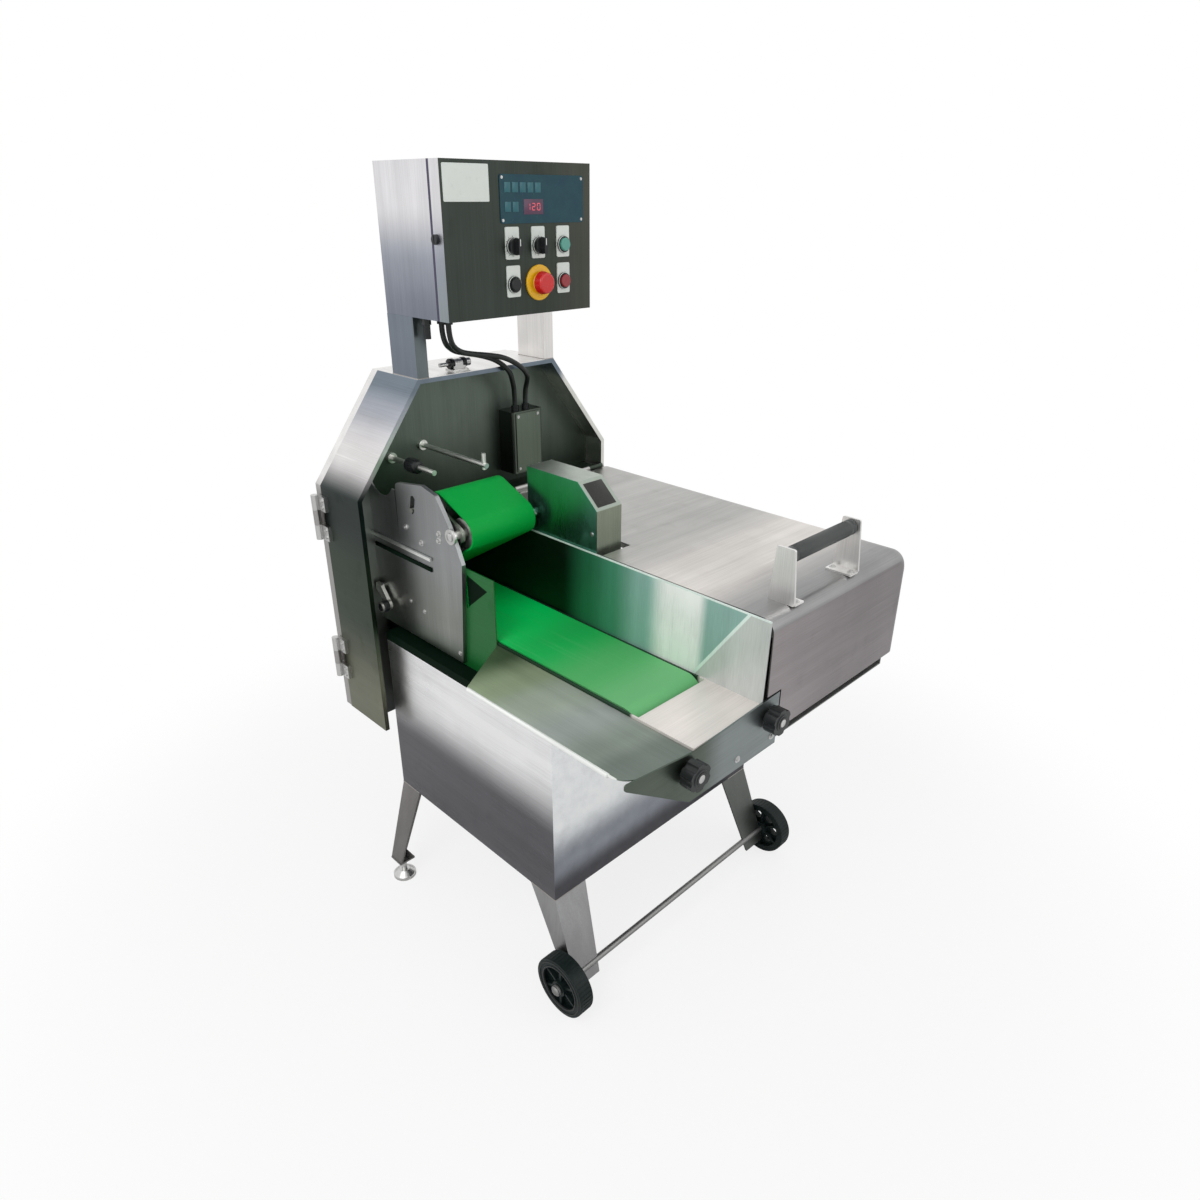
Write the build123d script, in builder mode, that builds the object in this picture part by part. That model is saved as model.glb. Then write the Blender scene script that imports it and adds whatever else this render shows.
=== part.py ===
"""Belt vegetable cutting machine: a belt feeds leaves under a press belt to a knife disc.

Frame: +X towards the feed end, -Y the operator's side, +Z up, floor at z = 0,
origin on the floor under the middle of the machine. All lengths in millimetres.
"""
from build123d import *
import math
import os

os.makedirs("parts", exist_ok=True)

# Driving dimensions

# sheet, plate and fits
sheet = 2.0
band_sheet = 3.0
plate = 4.0
seat = 0.3
running = 0.05

# where the machine stands over the origin
rear_x = -463.0
mid_y = 19.23

# head housing, rear cover and partition
cover_depth = 20.0
cover_seal = 0.5
cover_inset = 1.0
head_depth = 136.0
head_width = 630.0
head_top_width = 330.0
head_drop = 197.0
head_side = 494.0
head_slope = 198.0
head_lip = 9.0
partition_setback = 58.0
rail_depth = 45.0
rail_width = 40.0
rail_spacing = 400.0
hinge_pin_r = 3.0
hinge_knuckle_r = 7.0
hinge_length = 90.0
hinge_rise = 122.0
hinge_pitch = 308.0

# cabinet and stand
cab_length = 489.0
cab_width = 562.0
cab_height = 348.0
cab_flange = 30.0
leg_height = 202.0
leg_sheet = 4.0
seal_height = 17.0
seal_width = 34.0
axle_r = 6.0
wheel_r = 57.5
wheel_width = 30.0
wheel_offset = 26.0
axle_back = 11.0
leg_splay_x = 62.0
leg_splay_y = 7.0
foot_r = 24.0
foot_plate_z = 45.0
foot_stud_r = 6.0

# bed, feed belt and guide wall
bed_length = 800.0
pan_far_reach = 300.0
belt_rise = 80.0
belt_width = 150.0
belt_sheet = 3.0
roller_r = 27.7
belt_offset = 165.0
drive_setback = 35.0
belt_centres = 620.0
roller_shaft_r = 10.0
cheek = 3.0
cheek_gap = 3.0
wall_rise = 138.0
wall_lean = 5.0
apron_width = 140.0
apron_tilt = 7.0
apron_drop = 5.0
end_sheet = 3.0
knob_r = 22.0
knob_depth = 25.5
screw_r = 5.0
screw_offset = 98.0

# press unit
press_axis_rise = 171.0
press_axis_x = -103.0
press_width = 140.0
press_shaft_r = 8.0
arm_sheet = 6.0
side_plate_sheet = 8.0
side_plate_reach = 296.0
bracket_setback = 206.0

# cutter
cutter_rise = 51.0
vee_station = 230.0
shaft_r = 15.0
disc_r = 110.0
disc_sheet = 10.0
knife_sheet = 5.0
knife_gap = 3.0
knife_tip_r = 250.0
shaft_tail = 20.0
big_pulley_r = 60.0
small_pulley_r = 35.0
motor_r = 70.0
motor_length = 250.0
motor_shaft_r = 9.0
motor_height = 102.0

# control box, posts and door
post_height = 108.0
post_depth = 82.5
post_width = 24.0
box_width = 329.0
box_height = 247.0
box_depth = 158.0
box_sheet = 1.5
door_depth = 33.5
door_gap = 0.5
bead_r = 3.0
button_r = 11.0
button_gap = 0.3
control_first_y = -23.0
control_first_z = 53.0
lock_rise = 129.0
control_pitch_y = 59.0
control_pitch_z = 62.0
cable_d = 10.0

# drive cover and press guard
table_width = 420.0
table_bend_r = 40.0
lid_clear = 16.0
lid_hinge_inset = 137.0
lid_hinge_pitch = 176.0
table_gap = 3.0
guard_width = 60.0
guard_front_x = 66.0
guard_rear_x = -115.0
guard_rise = 118.0
notch_gap = 14.0
table_corner_r = 24.0

# Stations worked out from the driving dimensions

head_rear_x = rear_x + cover_depth + cover_seal
head_front_x = head_rear_x + head_depth
partition_x = head_front_x - partition_setback
cab_rear_x = partition_x + rail_depth
cab_front_x = cab_rear_x + cab_length
cab_mid_x = (cab_rear_x + cab_front_x) / 2
cab_near_y = mid_y - cab_width / 2
cab_far_y = mid_y + cab_width / 2
cab_top = leg_height + cab_height
bed_z = cab_top + seal_height
floor_top = bed_z + sheet
belt_top = floor_top + belt_rise
table_top = belt_top + wall_rise
end_x = partition_x + bed_length
belt_inner_r = roller_r + seat
belt_outer_r = belt_inner_r + belt_sheet
belt_axis_z = belt_top - belt_outer_r
belt_y = mid_y - belt_offset
belt_near_y = belt_y - belt_width / 2
belt_far_y = belt_y + belt_width / 2
drive_x = partition_x + drive_setback
tail_x = drive_x + belt_centres
near_cheek_y = belt_near_y - cheek_gap - cheek
far_cheek_y = belt_far_y + cheek_gap
pan_near_y = near_cheek_y - cheek
head_bottom = cab_top - head_drop
head_shoulder = head_bottom + head_side
head_top = head_shoulder + head_slope
cutter_z = belt_top + cutter_rise
box_bottom = head_top + post_height
box_front_x = head_front_x - post_depth + box_depth


# Small helpers that add to, or cut from, the sub-part being built

def block(x0, x1, y0, y1, z0, z1, mode=Mode.ADD):
    """A rectangular block between two corners."""
    with Locations(((x0 + x1) / 2, (y0 + y1) / 2, (z0 + z1) / 2)):
        Box(x1 - x0, y1 - y0, z1 - z0, mode=mode)


def bar_x(y, z, radius, x0, x1, mode=Mode.ADD):
    """A round bar or bore along X."""
    with Locations(Location(((x0 + x1) / 2, y, z), (0, 90, 0))):
        Cylinder(radius, x1 - x0, mode=mode)


def bar_y(x, z, radius, y0, y1, mode=Mode.ADD):
    """A round bar or bore along Y."""
    with Locations(Location((x, (y0 + y1) / 2, z), (90, 0, 0))):
        Cylinder(radius, y1 - y0, mode=mode)


def bar_z(x, y, radius, z0, z1, mode=Mode.ADD):
    """A round bar or bore along Z."""
    with Locations((x, y, (z0 + z1) / 2)):
        Cylinder(radius, z1 - z0, mode=mode)


def side_sheet(points, y0, y1, mode=Mode.ADD, radius=0.0):
    """A flat outline of (x, z) points, extruded from y0 to y1."""
    with BuildSketch(Plane.XZ.offset(-y0)) as outline:
        with BuildLine():
            Polyline(*points, close=True)
        make_face()
        if radius:
            fillet(outline.vertices(), radius)
    extrude(outline.sketch, amount=-(y1 - y0), mode=mode)


def cross_sheet(points, x0, x1, mode=Mode.ADD, radius=0.0):
    """A flat outline of (y, z) points, extruded from x0 to x1."""
    with BuildSketch(Plane.YZ.offset(x0)) as outline:
        with BuildLine():
            Polyline(*points, close=True)
        make_face()
        if radius:
            fillet(outline.vertices(), radius)
    extrude(outline.sketch, amount=x1 - x0, mode=mode)


def head_points(inset, bottom):
    """The head's six-sided outline, inset all round, with its foot at bottom."""
    run = (head_width - head_top_width) / 2
    slant = math.hypot(run, head_slope)
    half = head_width / 2 - inset
    half_top = head_top_width / 2 - inset * (slant - run) / head_slope
    shoulder = head_shoulder - inset * (slant - head_slope) / run
    top = head_top - inset
    return [
        (mid_y - half, bottom), (mid_y - half, shoulder), (mid_y - half_top, top),
        (mid_y + half_top, top), (mid_y + half, shoulder), (mid_y + half, bottom),
    ]


def belt_hull(centres, radius, y0, y1, mode=Mode.ADD):
    """The outline of a belt round discs of one radius, extruded from y0 to y1."""
    with BuildSketch(Plane.XZ.offset(-y0)) as loop:
        with Locations(*centres):
            Circle(radius)
        make_hull()
    extrude(loop.sketch, amount=-(y1 - y0), mode=mode)


# Cabinet: folded box, open on top, with inward flanges and vent slots in its floor

with BuildPart() as cabinet:
    block(cab_rear_x, cab_front_x, cab_near_y, cab_far_y, leg_height, cab_top)
    offset(amount=-sheet, openings=cabinet.faces().sort_by(Axis.Z)[-1])
    with BuildSketch(Plane.XY.offset(cab_top - sheet)):
        with Locations((cab_mid_x, mid_y)):
            Rectangle(cab_length, cab_width)
            Rectangle(cab_length - 2 * cab_flange, cab_width - 2 * cab_flange, mode=Mode.SUBTRACT)
    extrude(amount=sheet)
    with BuildSketch(Plane.XY.offset(leg_height)):
        with Locations((cab_mid_x - cab_length / 4, mid_y)):
            with GridLocations(0, 20, 1, 7):
                SlotOverall(90, 8)
    extrude(amount=sheet, mode=Mode.SUBTRACT)

with BuildPart() as base_gasket:
    with BuildSketch(Plane.XY.offset(cab_top)):
        with Locations((cab_mid_x, mid_y)):
            Rectangle(cab_length, cab_width)
            Rectangle(cab_length - 2 * seal_width, cab_width - 2 * seal_width, mode=Mode.SUBTRACT)
    extrude(amount=seal_height)


# Stand: four folded angle legs, wheels in front, levelling feet behind

def angle_leg(top, top_arms, bottom, bottom_arms, bottom_z, end, side):
    """A tapering angle leg; end and side say which corner the fold stands in."""
    sections = []
    for (cx, cy), (arm_x, arm_y), z in ((top, top_arms, leg_height), (bottom, bottom_arms, bottom_z)):
        with BuildSketch(Plane.XY.offset(z)) as section:
            with BuildLine():
                Polyline(
                    (cx, cy), (cx - end * arm_x, cy), (cx - end * arm_x, cy - side * leg_sheet),
                    (cx - end * leg_sheet, cy - side * leg_sheet), (cx - end * leg_sheet, cy - side * arm_y),
                    (cx, cy - side * arm_y), close=True,
                )
            make_face()
        sections.append(section.sketch.faces()[0])
    loft(sections, ruled=True)


axle_x = cab_front_x + leg_splay_x - axle_back
wheel_track = cab_width + 2 * wheel_offset
axle_z = wheel_r
front_leg_bottom = 36.0
hub_width = 34.0
leg_face = cab_width / 2 + leg_splay_y

with BuildPart() as front_legs:
    for side in (-1, 1):
        angle_leg(
            (cab_front_x, mid_y + side * cab_width / 2), (67, 75),
            (cab_front_x + leg_splay_x, mid_y + side * leg_face), (30, 58), front_leg_bottom, 1, side,
        )
    bar_y(axle_x, axle_z, axle_r + seat, mid_y - wheel_track, mid_y + wheel_track, Mode.SUBTRACT)

foot_x = cab_rear_x + 43
foot_splay = 47.0
foot_y = cab_width / 2 + foot_splay
foot_arm = 36.0

with BuildPart() as rear_legs:
    for side in (-1, 1):
        corner = (foot_x - foot_arm / 2, mid_y + side * (foot_y + foot_arm / 2))
        angle_leg(
            (cab_rear_x, mid_y + side * cab_width / 2), (60, 60),
            corner, (foot_arm, foot_arm), foot_plate_z, -1, side,
        )
        with BuildSketch(Plane.XY.offset(foot_plate_z)):
            with Locations((foot_x, mid_y + side * foot_y)):
                Rectangle(foot_arm, foot_arm)
                Circle(foot_stud_r + seat, mode=Mode.SUBTRACT)
        extrude(amount=leg_sheet)

nut_height = 8.0
with BuildPart() as levelling_feet:
    for side in (-1, 1):
        with Locations((foot_x, mid_y + side * foot_y, 0)):
            Cylinder(foot_r, 6, align=(Align.CENTER, Align.CENTER, Align.MIN))
        with Locations((foot_x, mid_y + side * foot_y, 6)):
            Cone(foot_r - 2, 11, 9, align=(Align.CENTER, Align.CENTER, Align.MIN))
        bar_z(foot_x, mid_y + side * foot_y, foot_stud_r, 0, foot_plate_z + 16)
        with BuildSketch(Plane.XY.offset(foot_plate_z - nut_height)):
            with Locations((foot_x, mid_y + side * foot_y)):
                RegularPolygon(10.5, 6)
        extrude(amount=nut_height)

axle_cap_r = 10.0
axle_end = wheel_track / 2 + hub_width / 2 + 1
with BuildPart() as wheel_axle:
    bar_y(axle_x, axle_z, axle_r, mid_y - axle_end, mid_y + axle_end)
    for side in (-1, 1):
        inner = mid_y + side * axle_end
        bar_y(axle_x, axle_z, axle_cap_r, min(inner, inner + side * 6), max(inner, inner + side * 6))


def make_wheel(side):
    """A moulded wheel: tyre, web with six round holes, ribs and a bored hub."""
    middle = mid_y + side * wheel_track / 2
    half = wheel_width / 2
    bar_y(axle_x, axle_z, wheel_r, middle - half, middle + half)
    for face in (-1, 1):
        near, far = sorted((middle + face * 4, middle + face * (half + 1)))
        bar_y(axle_x, axle_z, wheel_r - 13, near, far, Mode.SUBTRACT)
    with BuildSketch(Plane.XZ.offset(-(middle - half + 3))) as ribs:
        with Locations((axle_x, axle_z)):
            with PolarLocations(0, 6, start_angle=30):
                with Locations((28, 0)):
                    Rectangle(36, 5)
    extrude(ribs.sketch, amount=-(wheel_width - 6))
    with BuildSketch(Plane.XZ.offset(-(middle - half))) as holes:
        with Locations((axle_x, axle_z)):
            with PolarLocations(30, 6):
                Circle(9)
    extrude(holes.sketch, amount=-wheel_width, mode=Mode.SUBTRACT)
    bar_y(axle_x, axle_z, 15, middle - hub_width / 2, middle + hub_width / 2)
    bar_y(axle_x, axle_z, axle_r + running, middle - hub_width, middle + hub_width, Mode.SUBTRACT)


with BuildPart() as wheel_near:
    make_wheel(-1)

with BuildPart() as wheel_far:
    make_wheel(1)


# Head housing: a folded six-sided band, open below, with its partition and rear cover

with BuildPart() as head_band:
    cross_sheet(head_points(0, head_bottom), head_rear_x, head_front_x)
    cross_sheet(head_points(band_sheet, head_bottom - 1), head_rear_x, head_front_x, Mode.SUBTRACT)
    cross_sheet(head_points(0, head_bottom), head_front_x - sheet, head_front_x)
    cross_sheet(
        head_points(head_lip, head_bottom - 1), head_front_x - sheet, head_front_x, Mode.SUBTRACT)
    cross_sheet(head_points(0, head_bottom), head_rear_x, head_rear_x + sheet)
    cross_sheet(
        head_points(2 * head_lip, head_bottom - 1), head_rear_x, head_rear_x + sheet, Mode.SUBTRACT)

throat_height = 76.0
throat_side = 2.0
shelf_front_x = head_front_x + 5
table_near_y = far_cheek_y + cheek + sheet + wall_lean + table_gap
table_far_y = table_near_y + table_width
lid_axis_x = shelf_front_x + 2.5
lid_knuckle_r = 5.0
lid_axis_z = table_top + lid_knuckle_r
lid_pin_r = 2.0
lid_segment = 40.0
lid_hinges = (table_near_y + lid_hinge_inset, table_near_y + lid_hinge_inset + lid_hinge_pitch)
shelf_far_y = mid_y + head_width / 2 - 15

with BuildPart() as partition_plate:
    cross_sheet(head_points(band_sheet, head_bottom), partition_x - plate, partition_x)
    block(partition_x - 50, partition_x + 1, belt_near_y - throat_side, belt_far_y + throat_side,
          belt_top - 1, belt_top + throat_height, Mode.SUBTRACT)
    bar_x(mid_y, cutter_z, shaft_r + 7, partition_x - 50, partition_x + 1, Mode.SUBTRACT)
    for side in (-1, 1):
        rail_y = mid_y + side * rail_spacing / 2
        block(partition_x, cab_rear_x, rail_y - rail_width / 2, rail_y + rail_width / 2,
              head_bottom, cab_top)
    block(partition_x, shelf_front_x, table_near_y, shelf_far_y, table_top - sheet, table_top)
    for y in lid_hinges:
        for y0, y1 in ((y - 1.5 * lid_segment, y - lid_segment / 2),
                       (y + lid_segment / 2, y + 1.5 * lid_segment)):
            bar_y(lid_axis_x, lid_axis_z, lid_knuckle_r, y0, y1)
            block(lid_axis_x - 16, lid_axis_x, y0, y1, table_top, table_top + 2)
        bar_y(lid_axis_x, lid_axis_z, lid_pin_r, y - 1.5 * lid_segment, y + 1.5 * lid_segment)

hinge_x = head_rear_x - 10.5
hinge_y = mid_y - head_width / 2 - 10
hinge_heights = (head_bottom + hinge_rise, head_bottom + hinge_rise + hinge_pitch)

with BuildPart() as cover_hinges:
    for z in hinge_heights:
        for z0, z1 in ((z - hinge_length / 2, z - hinge_length / 6),
                       (z + hinge_length / 6, z + hinge_length / 2)):
            bar_z(hinge_x, hinge_y, hinge_knuckle_r, z0, z1)
            block(hinge_x, head_rear_x + 20, hinge_y + 3, hinge_y + 10, z0, z1)
        bar_z(hinge_x, hinge_y, hinge_pin_r, z - hinge_length / 2, z + hinge_length / 2)

cover_front_x = head_rear_x - cover_seal
with BuildPart() as rear_cover:
    cross_sheet(head_points(cover_inset, head_bottom), rear_x, cover_front_x)
    offset(amount=-sheet, openings=rear_cover.faces().sort_by(Axis.X)[-1])
    cover_side = mid_y - head_width / 2 + cover_inset
    for z in hinge_heights:
        z0, z1 = z - hinge_length / 6 + seat, z + hinge_length / 6 - seat
        bar_z(hinge_x, hinge_y, hinge_knuckle_r, z0, z1)
        block(hinge_x - 7, hinge_x, hinge_y, cover_side + sheet / 2, z0, z1)
        bar_z(hinge_x, hinge_y, hinge_pin_r + running, z0, z1, Mode.SUBTRACT)

interlock_x = head_front_x - 28
interlock_z = head_top + 13
interlock_y = mid_y - 75
bolt_r = 4.0
with BuildPart() as interlock_housing:
    bar_y(interlock_x, interlock_z, 9, interlock_y, interlock_y + 36)
    block(interlock_x - 9, interlock_x + 9, interlock_y + 4, interlock_y + 32, head_top, interlock_z)
    block(interlock_x - 13, interlock_x + 13, interlock_y, interlock_y + 36, head_top, head_top + 3)
    bar_y(interlock_x, interlock_z, bolt_r + running, interlock_y - 1, interlock_y + 37, Mode.SUBTRACT)

with BuildPart() as interlock_bolt:
    bar_y(interlock_x, interlock_z, bolt_r, interlock_y - 22, interlock_y + 40)
    bar_y(interlock_x, interlock_z, 8, interlock_y + 36 + seat, interlock_y + 46)


# Posts and control box

with BuildPart() as control_posts:
    with BuildSketch(Plane.XY.offset(head_top)):
        for side in (-1, 1):
            post_y = mid_y + side * (head_top_width - post_width) / 2
            with Locations((head_front_x - post_depth / 2, post_y)):
                Rectangle(post_depth, post_width)
                Rectangle(post_depth - 2 * sheet, post_width - 2 * sheet, mode=Mode.SUBTRACT)
    extrude(amount=post_height)

box_rear_x = head_front_x - post_depth
box_near_y = mid_y - box_width / 2
box_far_y = mid_y + box_width / 2
box_top = box_bottom + box_height
bead_x = box_front_x + door_gap / 2
bead_y = box_far_y + bead_r + 0.3
bead_segments = 5
bead_step = box_height / bead_segments
gland_spots = ((box_front_x - 48, mid_y - 124), (box_front_x - 30, mid_y - 122))
inlet_spot = (box_front_x - 54, mid_y - 151)

with BuildPart() as control_box:
    block(box_rear_x, box_front_x, box_near_y, box_far_y, box_bottom, box_top)
    offset(amount=-box_sheet, openings=control_box.faces().sort_by(Axis.X)[-1])
    for index in range(0, bead_segments, 2):
        z0 = box_bottom + index * bead_step
        bar_z(bead_x, bead_y, bead_r, z0, z0 + bead_step)
        block(bead_x - 18, bead_x, box_far_y, box_far_y + box_sheet, z0, z0 + bead_step)
    bar_z(bead_x, bead_y, bead_r / 2, box_bottom, box_top)

door_rear_x = box_front_x + door_gap
door_front_x = door_rear_x + door_depth
lock_x = door_front_x - 19
lock_z = box_bottom + lock_rise
lock_r = 8.0
control_y = [mid_y + control_first_y + control_pitch_y * column for column in range(3)]
control_z = [box_bottom + control_first_z + control_pitch_z * row for row in range(2)]
control_spots = [(y, z) for z in control_z for y in control_y]

with BuildPart() as control_door:
    block(door_rear_x, door_front_x, box_near_y, box_far_y, box_bottom, box_top)
    offset(amount=-box_sheet, openings=control_door.faces().sort_by(Axis.X)[0])
    for index in range(1, bead_segments, 2):
        z0, z1 = box_bottom + index * bead_step + seat, box_bottom + (index + 1) * bead_step - seat
        bar_z(bead_x, bead_y, bead_r, z0, z1)
        block(bead_x, bead_x + 18, box_far_y - box_sheet / 2, box_far_y + box_sheet, z0, z1)
        bar_z(bead_x, bead_y, bead_r / 2 + running, z0, z1, Mode.SUBTRACT)
    for y, z in control_spots:
        bar_x(y, z, button_r + button_gap, door_front_x - 5, door_front_x + 1, Mode.SUBTRACT)
    bar_y(lock_x, lock_z, lock_r + running, box_near_y - 1, box_near_y + 5, Mode.SUBTRACT)

with BuildPart() as door_lock:
    bar_y(lock_x, lock_z, lock_r, box_near_y - 6, box_near_y + 12)
    block(lock_x - 22, lock_x + 6, box_near_y + 9, box_near_y + 12, lock_z - 5, lock_z + 5)
    block(lock_x - 1, lock_x + 1, box_near_y - 7, box_near_y - 4, lock_z - 6, lock_z + 6, Mode.SUBTRACT)

display_z = box_bottom + 189
with BuildPart() as display_panel:
    with BuildSketch(Plane.YZ.offset(door_front_x)):
        with Locations((mid_y + 50, display_z)):
            RectangleRounded(192, 76, 5)
    extrude(amount=box_sheet)

legend_sheet = 2.0
bezel_depth = 6.0
emergency_index = 1
with BuildPart() as legend_plates:
    for index, (y, z) in enumerate(control_spots):
        with BuildSketch(Plane.YZ.offset(door_front_x)):
            if index == emergency_index:
                with Locations((y, z)):
                    Circle(30)
            else:
                with Locations((y, z + 5)):
                    RectangleRounded(30, 52, 3)
            with Locations((y, z)):
                Circle(button_r + button_gap, mode=Mode.SUBTRACT)
        extrude(amount=legend_sheet)
        with BuildSketch(Plane.YZ.offset(door_front_x)):
            with Locations((y, z)):
                Circle(button_r + 3)
                Circle(button_r + button_gap, mode=Mode.SUBTRACT)
        extrude(amount=bezel_depth)
    with BuildSketch(Plane.YZ.offset(door_front_x)):
        with Locations((mid_y - 114, box_top - 34)):
            RectangleRounded(92, 56, 2)
    extrude(amount=legend_sheet / 2)

plunger_back = 3.0
travel_room = 4.0
inner_face_x = door_front_x - box_sheet
with BuildPart() as switch_bodies:
    for y, z in control_spots:
        block(door_rear_x + 2, inner_face_x - plunger_back - travel_room, y - 14, y + 14, z - 14, z + 14)
        bar_x(y, z, button_r + 3, door_rear_x + 3, inner_face_x)
        bar_x(y, z, button_r + button_gap, inner_face_x - plunger_back - travel_room, inner_face_x,
              Mode.SUBTRACT)


def plunger(spot, head_x):
    """The round shank of a button or knob, from behind the door to its head."""
    y, z = control_spots[spot]
    bar_x(y, z, button_r, inner_face_x - plunger_back, head_x)
    return y, z


def turn_knob(spot):
    """A rotary knob with a raised grip bar."""
    face = door_front_x + bezel_depth + seat
    y, z = plunger(spot, face + 1)
    bar_x(y, z, 14, face, face + 7)
    block(face + 6, face + 17, y - 3.5, y + 3.5, z - 13, z + 13)


def push_button(spot, proud):
    """A push button with a domed face."""
    head = door_front_x + bezel_depth + proud
    y, z = plunger(spot, head)
    chamfer(edges().filter_by(GeomType.CIRCLE).group_by(Axis.X)[-1], 1.5)
    return y, z


with BuildPart() as speed_knob:
    turn_knob(3)

with BuildPart() as mode_knob:
    turn_knob(4)

with BuildPart() as start_button:
    push_button(5, 5)

with BuildPart() as jog_button:
    push_button(0, 5)

with BuildPart() as stop_button:
    push_button(2, 5)

with BuildPart() as emergency_button:
    head_x = door_front_x + bezel_depth + 5
    y, z = plunger(emergency_index, head_x + 1)
    with BuildSketch(Plane.YZ.offset(head_x)):
        with Locations((y, z)):
            Circle(20)
    extrude(amount=14, taper=12)
    fillet(emergency_button.edges().filter_by(GeomType.CIRCLE).group_by(Axis.X)[-1], 4)

gear_plate_x = box_rear_x + box_sheet + 12
with BuildPart() as control_gear:
    block(gear_plate_x, gear_plate_x + sheet, box_near_y + 30, box_far_y - 30, box_bottom + 20, box_top - 20)
    for y in (box_near_y + 45, box_far_y - 45):
        for z in (box_bottom + 35, box_top - 35):
            bar_x(y, z, 5, box_rear_x + box_sheet, gear_plate_x + sheet)
    block(gear_plate_x, gear_plate_x + 88, mid_y - 100, mid_y - 10, box_bottom + 45, box_bottom + 190)
    for index in range(6):
        fin_y = mid_y - 94 + 15.6 * index
        block(gear_plate_x + 80, gear_plate_x + 94, fin_y, fin_y + 5, box_bottom + 55, box_bottom + 180)
    for index in range(4):
        relay_y = mid_y + 10 + 27 * index
        block(gear_plate_x, gear_plate_x + 62, relay_y, relay_y + 23, box_bottom + 120, box_bottom + 190)
    block(gear_plate_x, gear_plate_x + 34, mid_y + 8, mid_y + 118, box_bottom + 45, box_bottom + 85)

# Junction box on the partition, its glands and the two control cables

junction_depth = 45.0
junction_near_y = mid_y + 62
junction_far_y = mid_y + 142
junction_bottom = head_shoulder - 32
junction_top = head_shoulder + 98
gland_height = 12.0
gland_r = 8.0
cable_entry_x = partition_x + 34
cable_entries = ((cable_entry_x, mid_y + 78), (cable_entry_x, mid_y + 106))

with BuildPart() as junction_box:
    block(partition_x, partition_x + junction_depth, junction_near_y, junction_far_y,
          junction_bottom, junction_top)
    fillet(junction_box.edges().filter_by(Axis.Z).sort_by(Axis.X)[-2:], 6)
    offset(amount=-sheet, openings=junction_box.faces().sort_by(Axis.Z)[0])
    block(partition_x + junction_depth - 1, partition_x + junction_depth + 2, junction_near_y + 8,
          junction_far_y - 8, junction_bottom + 4, junction_top - 4)


def gland(x, y, z0, z1):
    """A cable gland: hexagon body with a round dome, between two heights."""
    with BuildSketch(Plane.XY.offset(z0)) as body:
        with Locations((x, y)):
            RegularPolygon(gland_r, 6)
    extrude(body.sketch, amount=z1 - z0)


with BuildPart() as cable_glands:
    for x, y in gland_spots:
        gland(x, y, box_bottom - gland_height, box_bottom)
    gland(*inlet_spot, box_bottom - gland_height, box_bottom)
    bar_z(*inlet_spot, gland_r - 2, box_bottom - 3 * gland_height, box_bottom - gland_height)
    for x, y in cable_entries:
        gland(x, y, junction_top, junction_top + gland_height)

cable_top = box_bottom - gland_height
cable_foot = junction_top + gland_height
(ax, ay), (bx, by) = gland_spots
(ex, ey), (fx, fy) = cable_entries
cable_routes = (
    [
        (ax, ay, cable_top), (ax, ay, cable_top - 30), (ax - 3, ay + 22, cable_top - 50),
        (ax - 8, ay + 54, cable_top - 58), (ax - 12, ay + 93, cable_top - 67),
        (ax - 15, ay + 131, cable_top - 80), (ax - 17, ay + 164, cable_top - 104),
        (ex + 16, ey - 16, cable_foot + 51), (ex, ey, cable_foot + 28), (ex, ey, cable_foot),
    ],
    [
        (bx, by, cable_top), (bx, by, cable_top - 30), (bx - 4, by + 22, cable_top - 50),
        (bx - 9, by + 55, cable_top - 58), (bx - 14, by + 96, cable_top - 65),
        (bx - 18, by + 140, cable_top - 75), (bx - 20, by + 180, cable_top - 97),
        (fx + 37, fy - 22, cable_foot + 66), (fx + 14, fy - 5, cable_foot + 47),
        (fx, fy, cable_foot + 25), (fx, fy, cable_foot),
    ],
)


def route_radii(points):
    """The largest arc that fits each corner: 0.45 of the shorter run over the half turn's tangent."""
    radii = []
    for before, corner, after in zip(points, points[1:], points[2:]):
        first = Vector(*corner) - Vector(*before)
        second = Vector(*after) - Vector(*corner)
        half_turn = math.radians(first.get_angle(second)) / 2
        radii.append(0.45 * min(first.length, second.length) / math.tan(half_turn))
    return radii


with BuildPart() as control_cables:
    for route in cable_routes:
        radii = route_radii(route)
        print("cable bend radii", [round(radius) for radius in radii])
        with BuildLine() as path:
            FilletPolyline(*route, radius=radii)
        with BuildSketch(Plane(origin=route[0], z_dir=(0, 0, -1))):
            Circle(cable_d / 2)
        sweep(path=path.line)
        run = sum(edge.length for edge in path.edges())
        print("cable length", round(run), "volume so far over section",
              round(control_cables.part.volume / (math.pi * cable_d ** 2 / 4)))


# Bed: the pan with its apron, the end plate and the guide wall

pan_far_y = mid_y + pan_far_reach
pan_end_x = end_x - end_sheet
plate_front_x = partition_x + side_plate_reach
short_wall_x = plate_front_x + 64
apron_z = belt_top - apron_drop
rim_start_x = short_wall_x + 100
screw_z = belt_top - 28
screw_spots = (belt_y - screw_offset, belt_y + screw_offset)
slot_x = partition_x + vee_station

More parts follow.
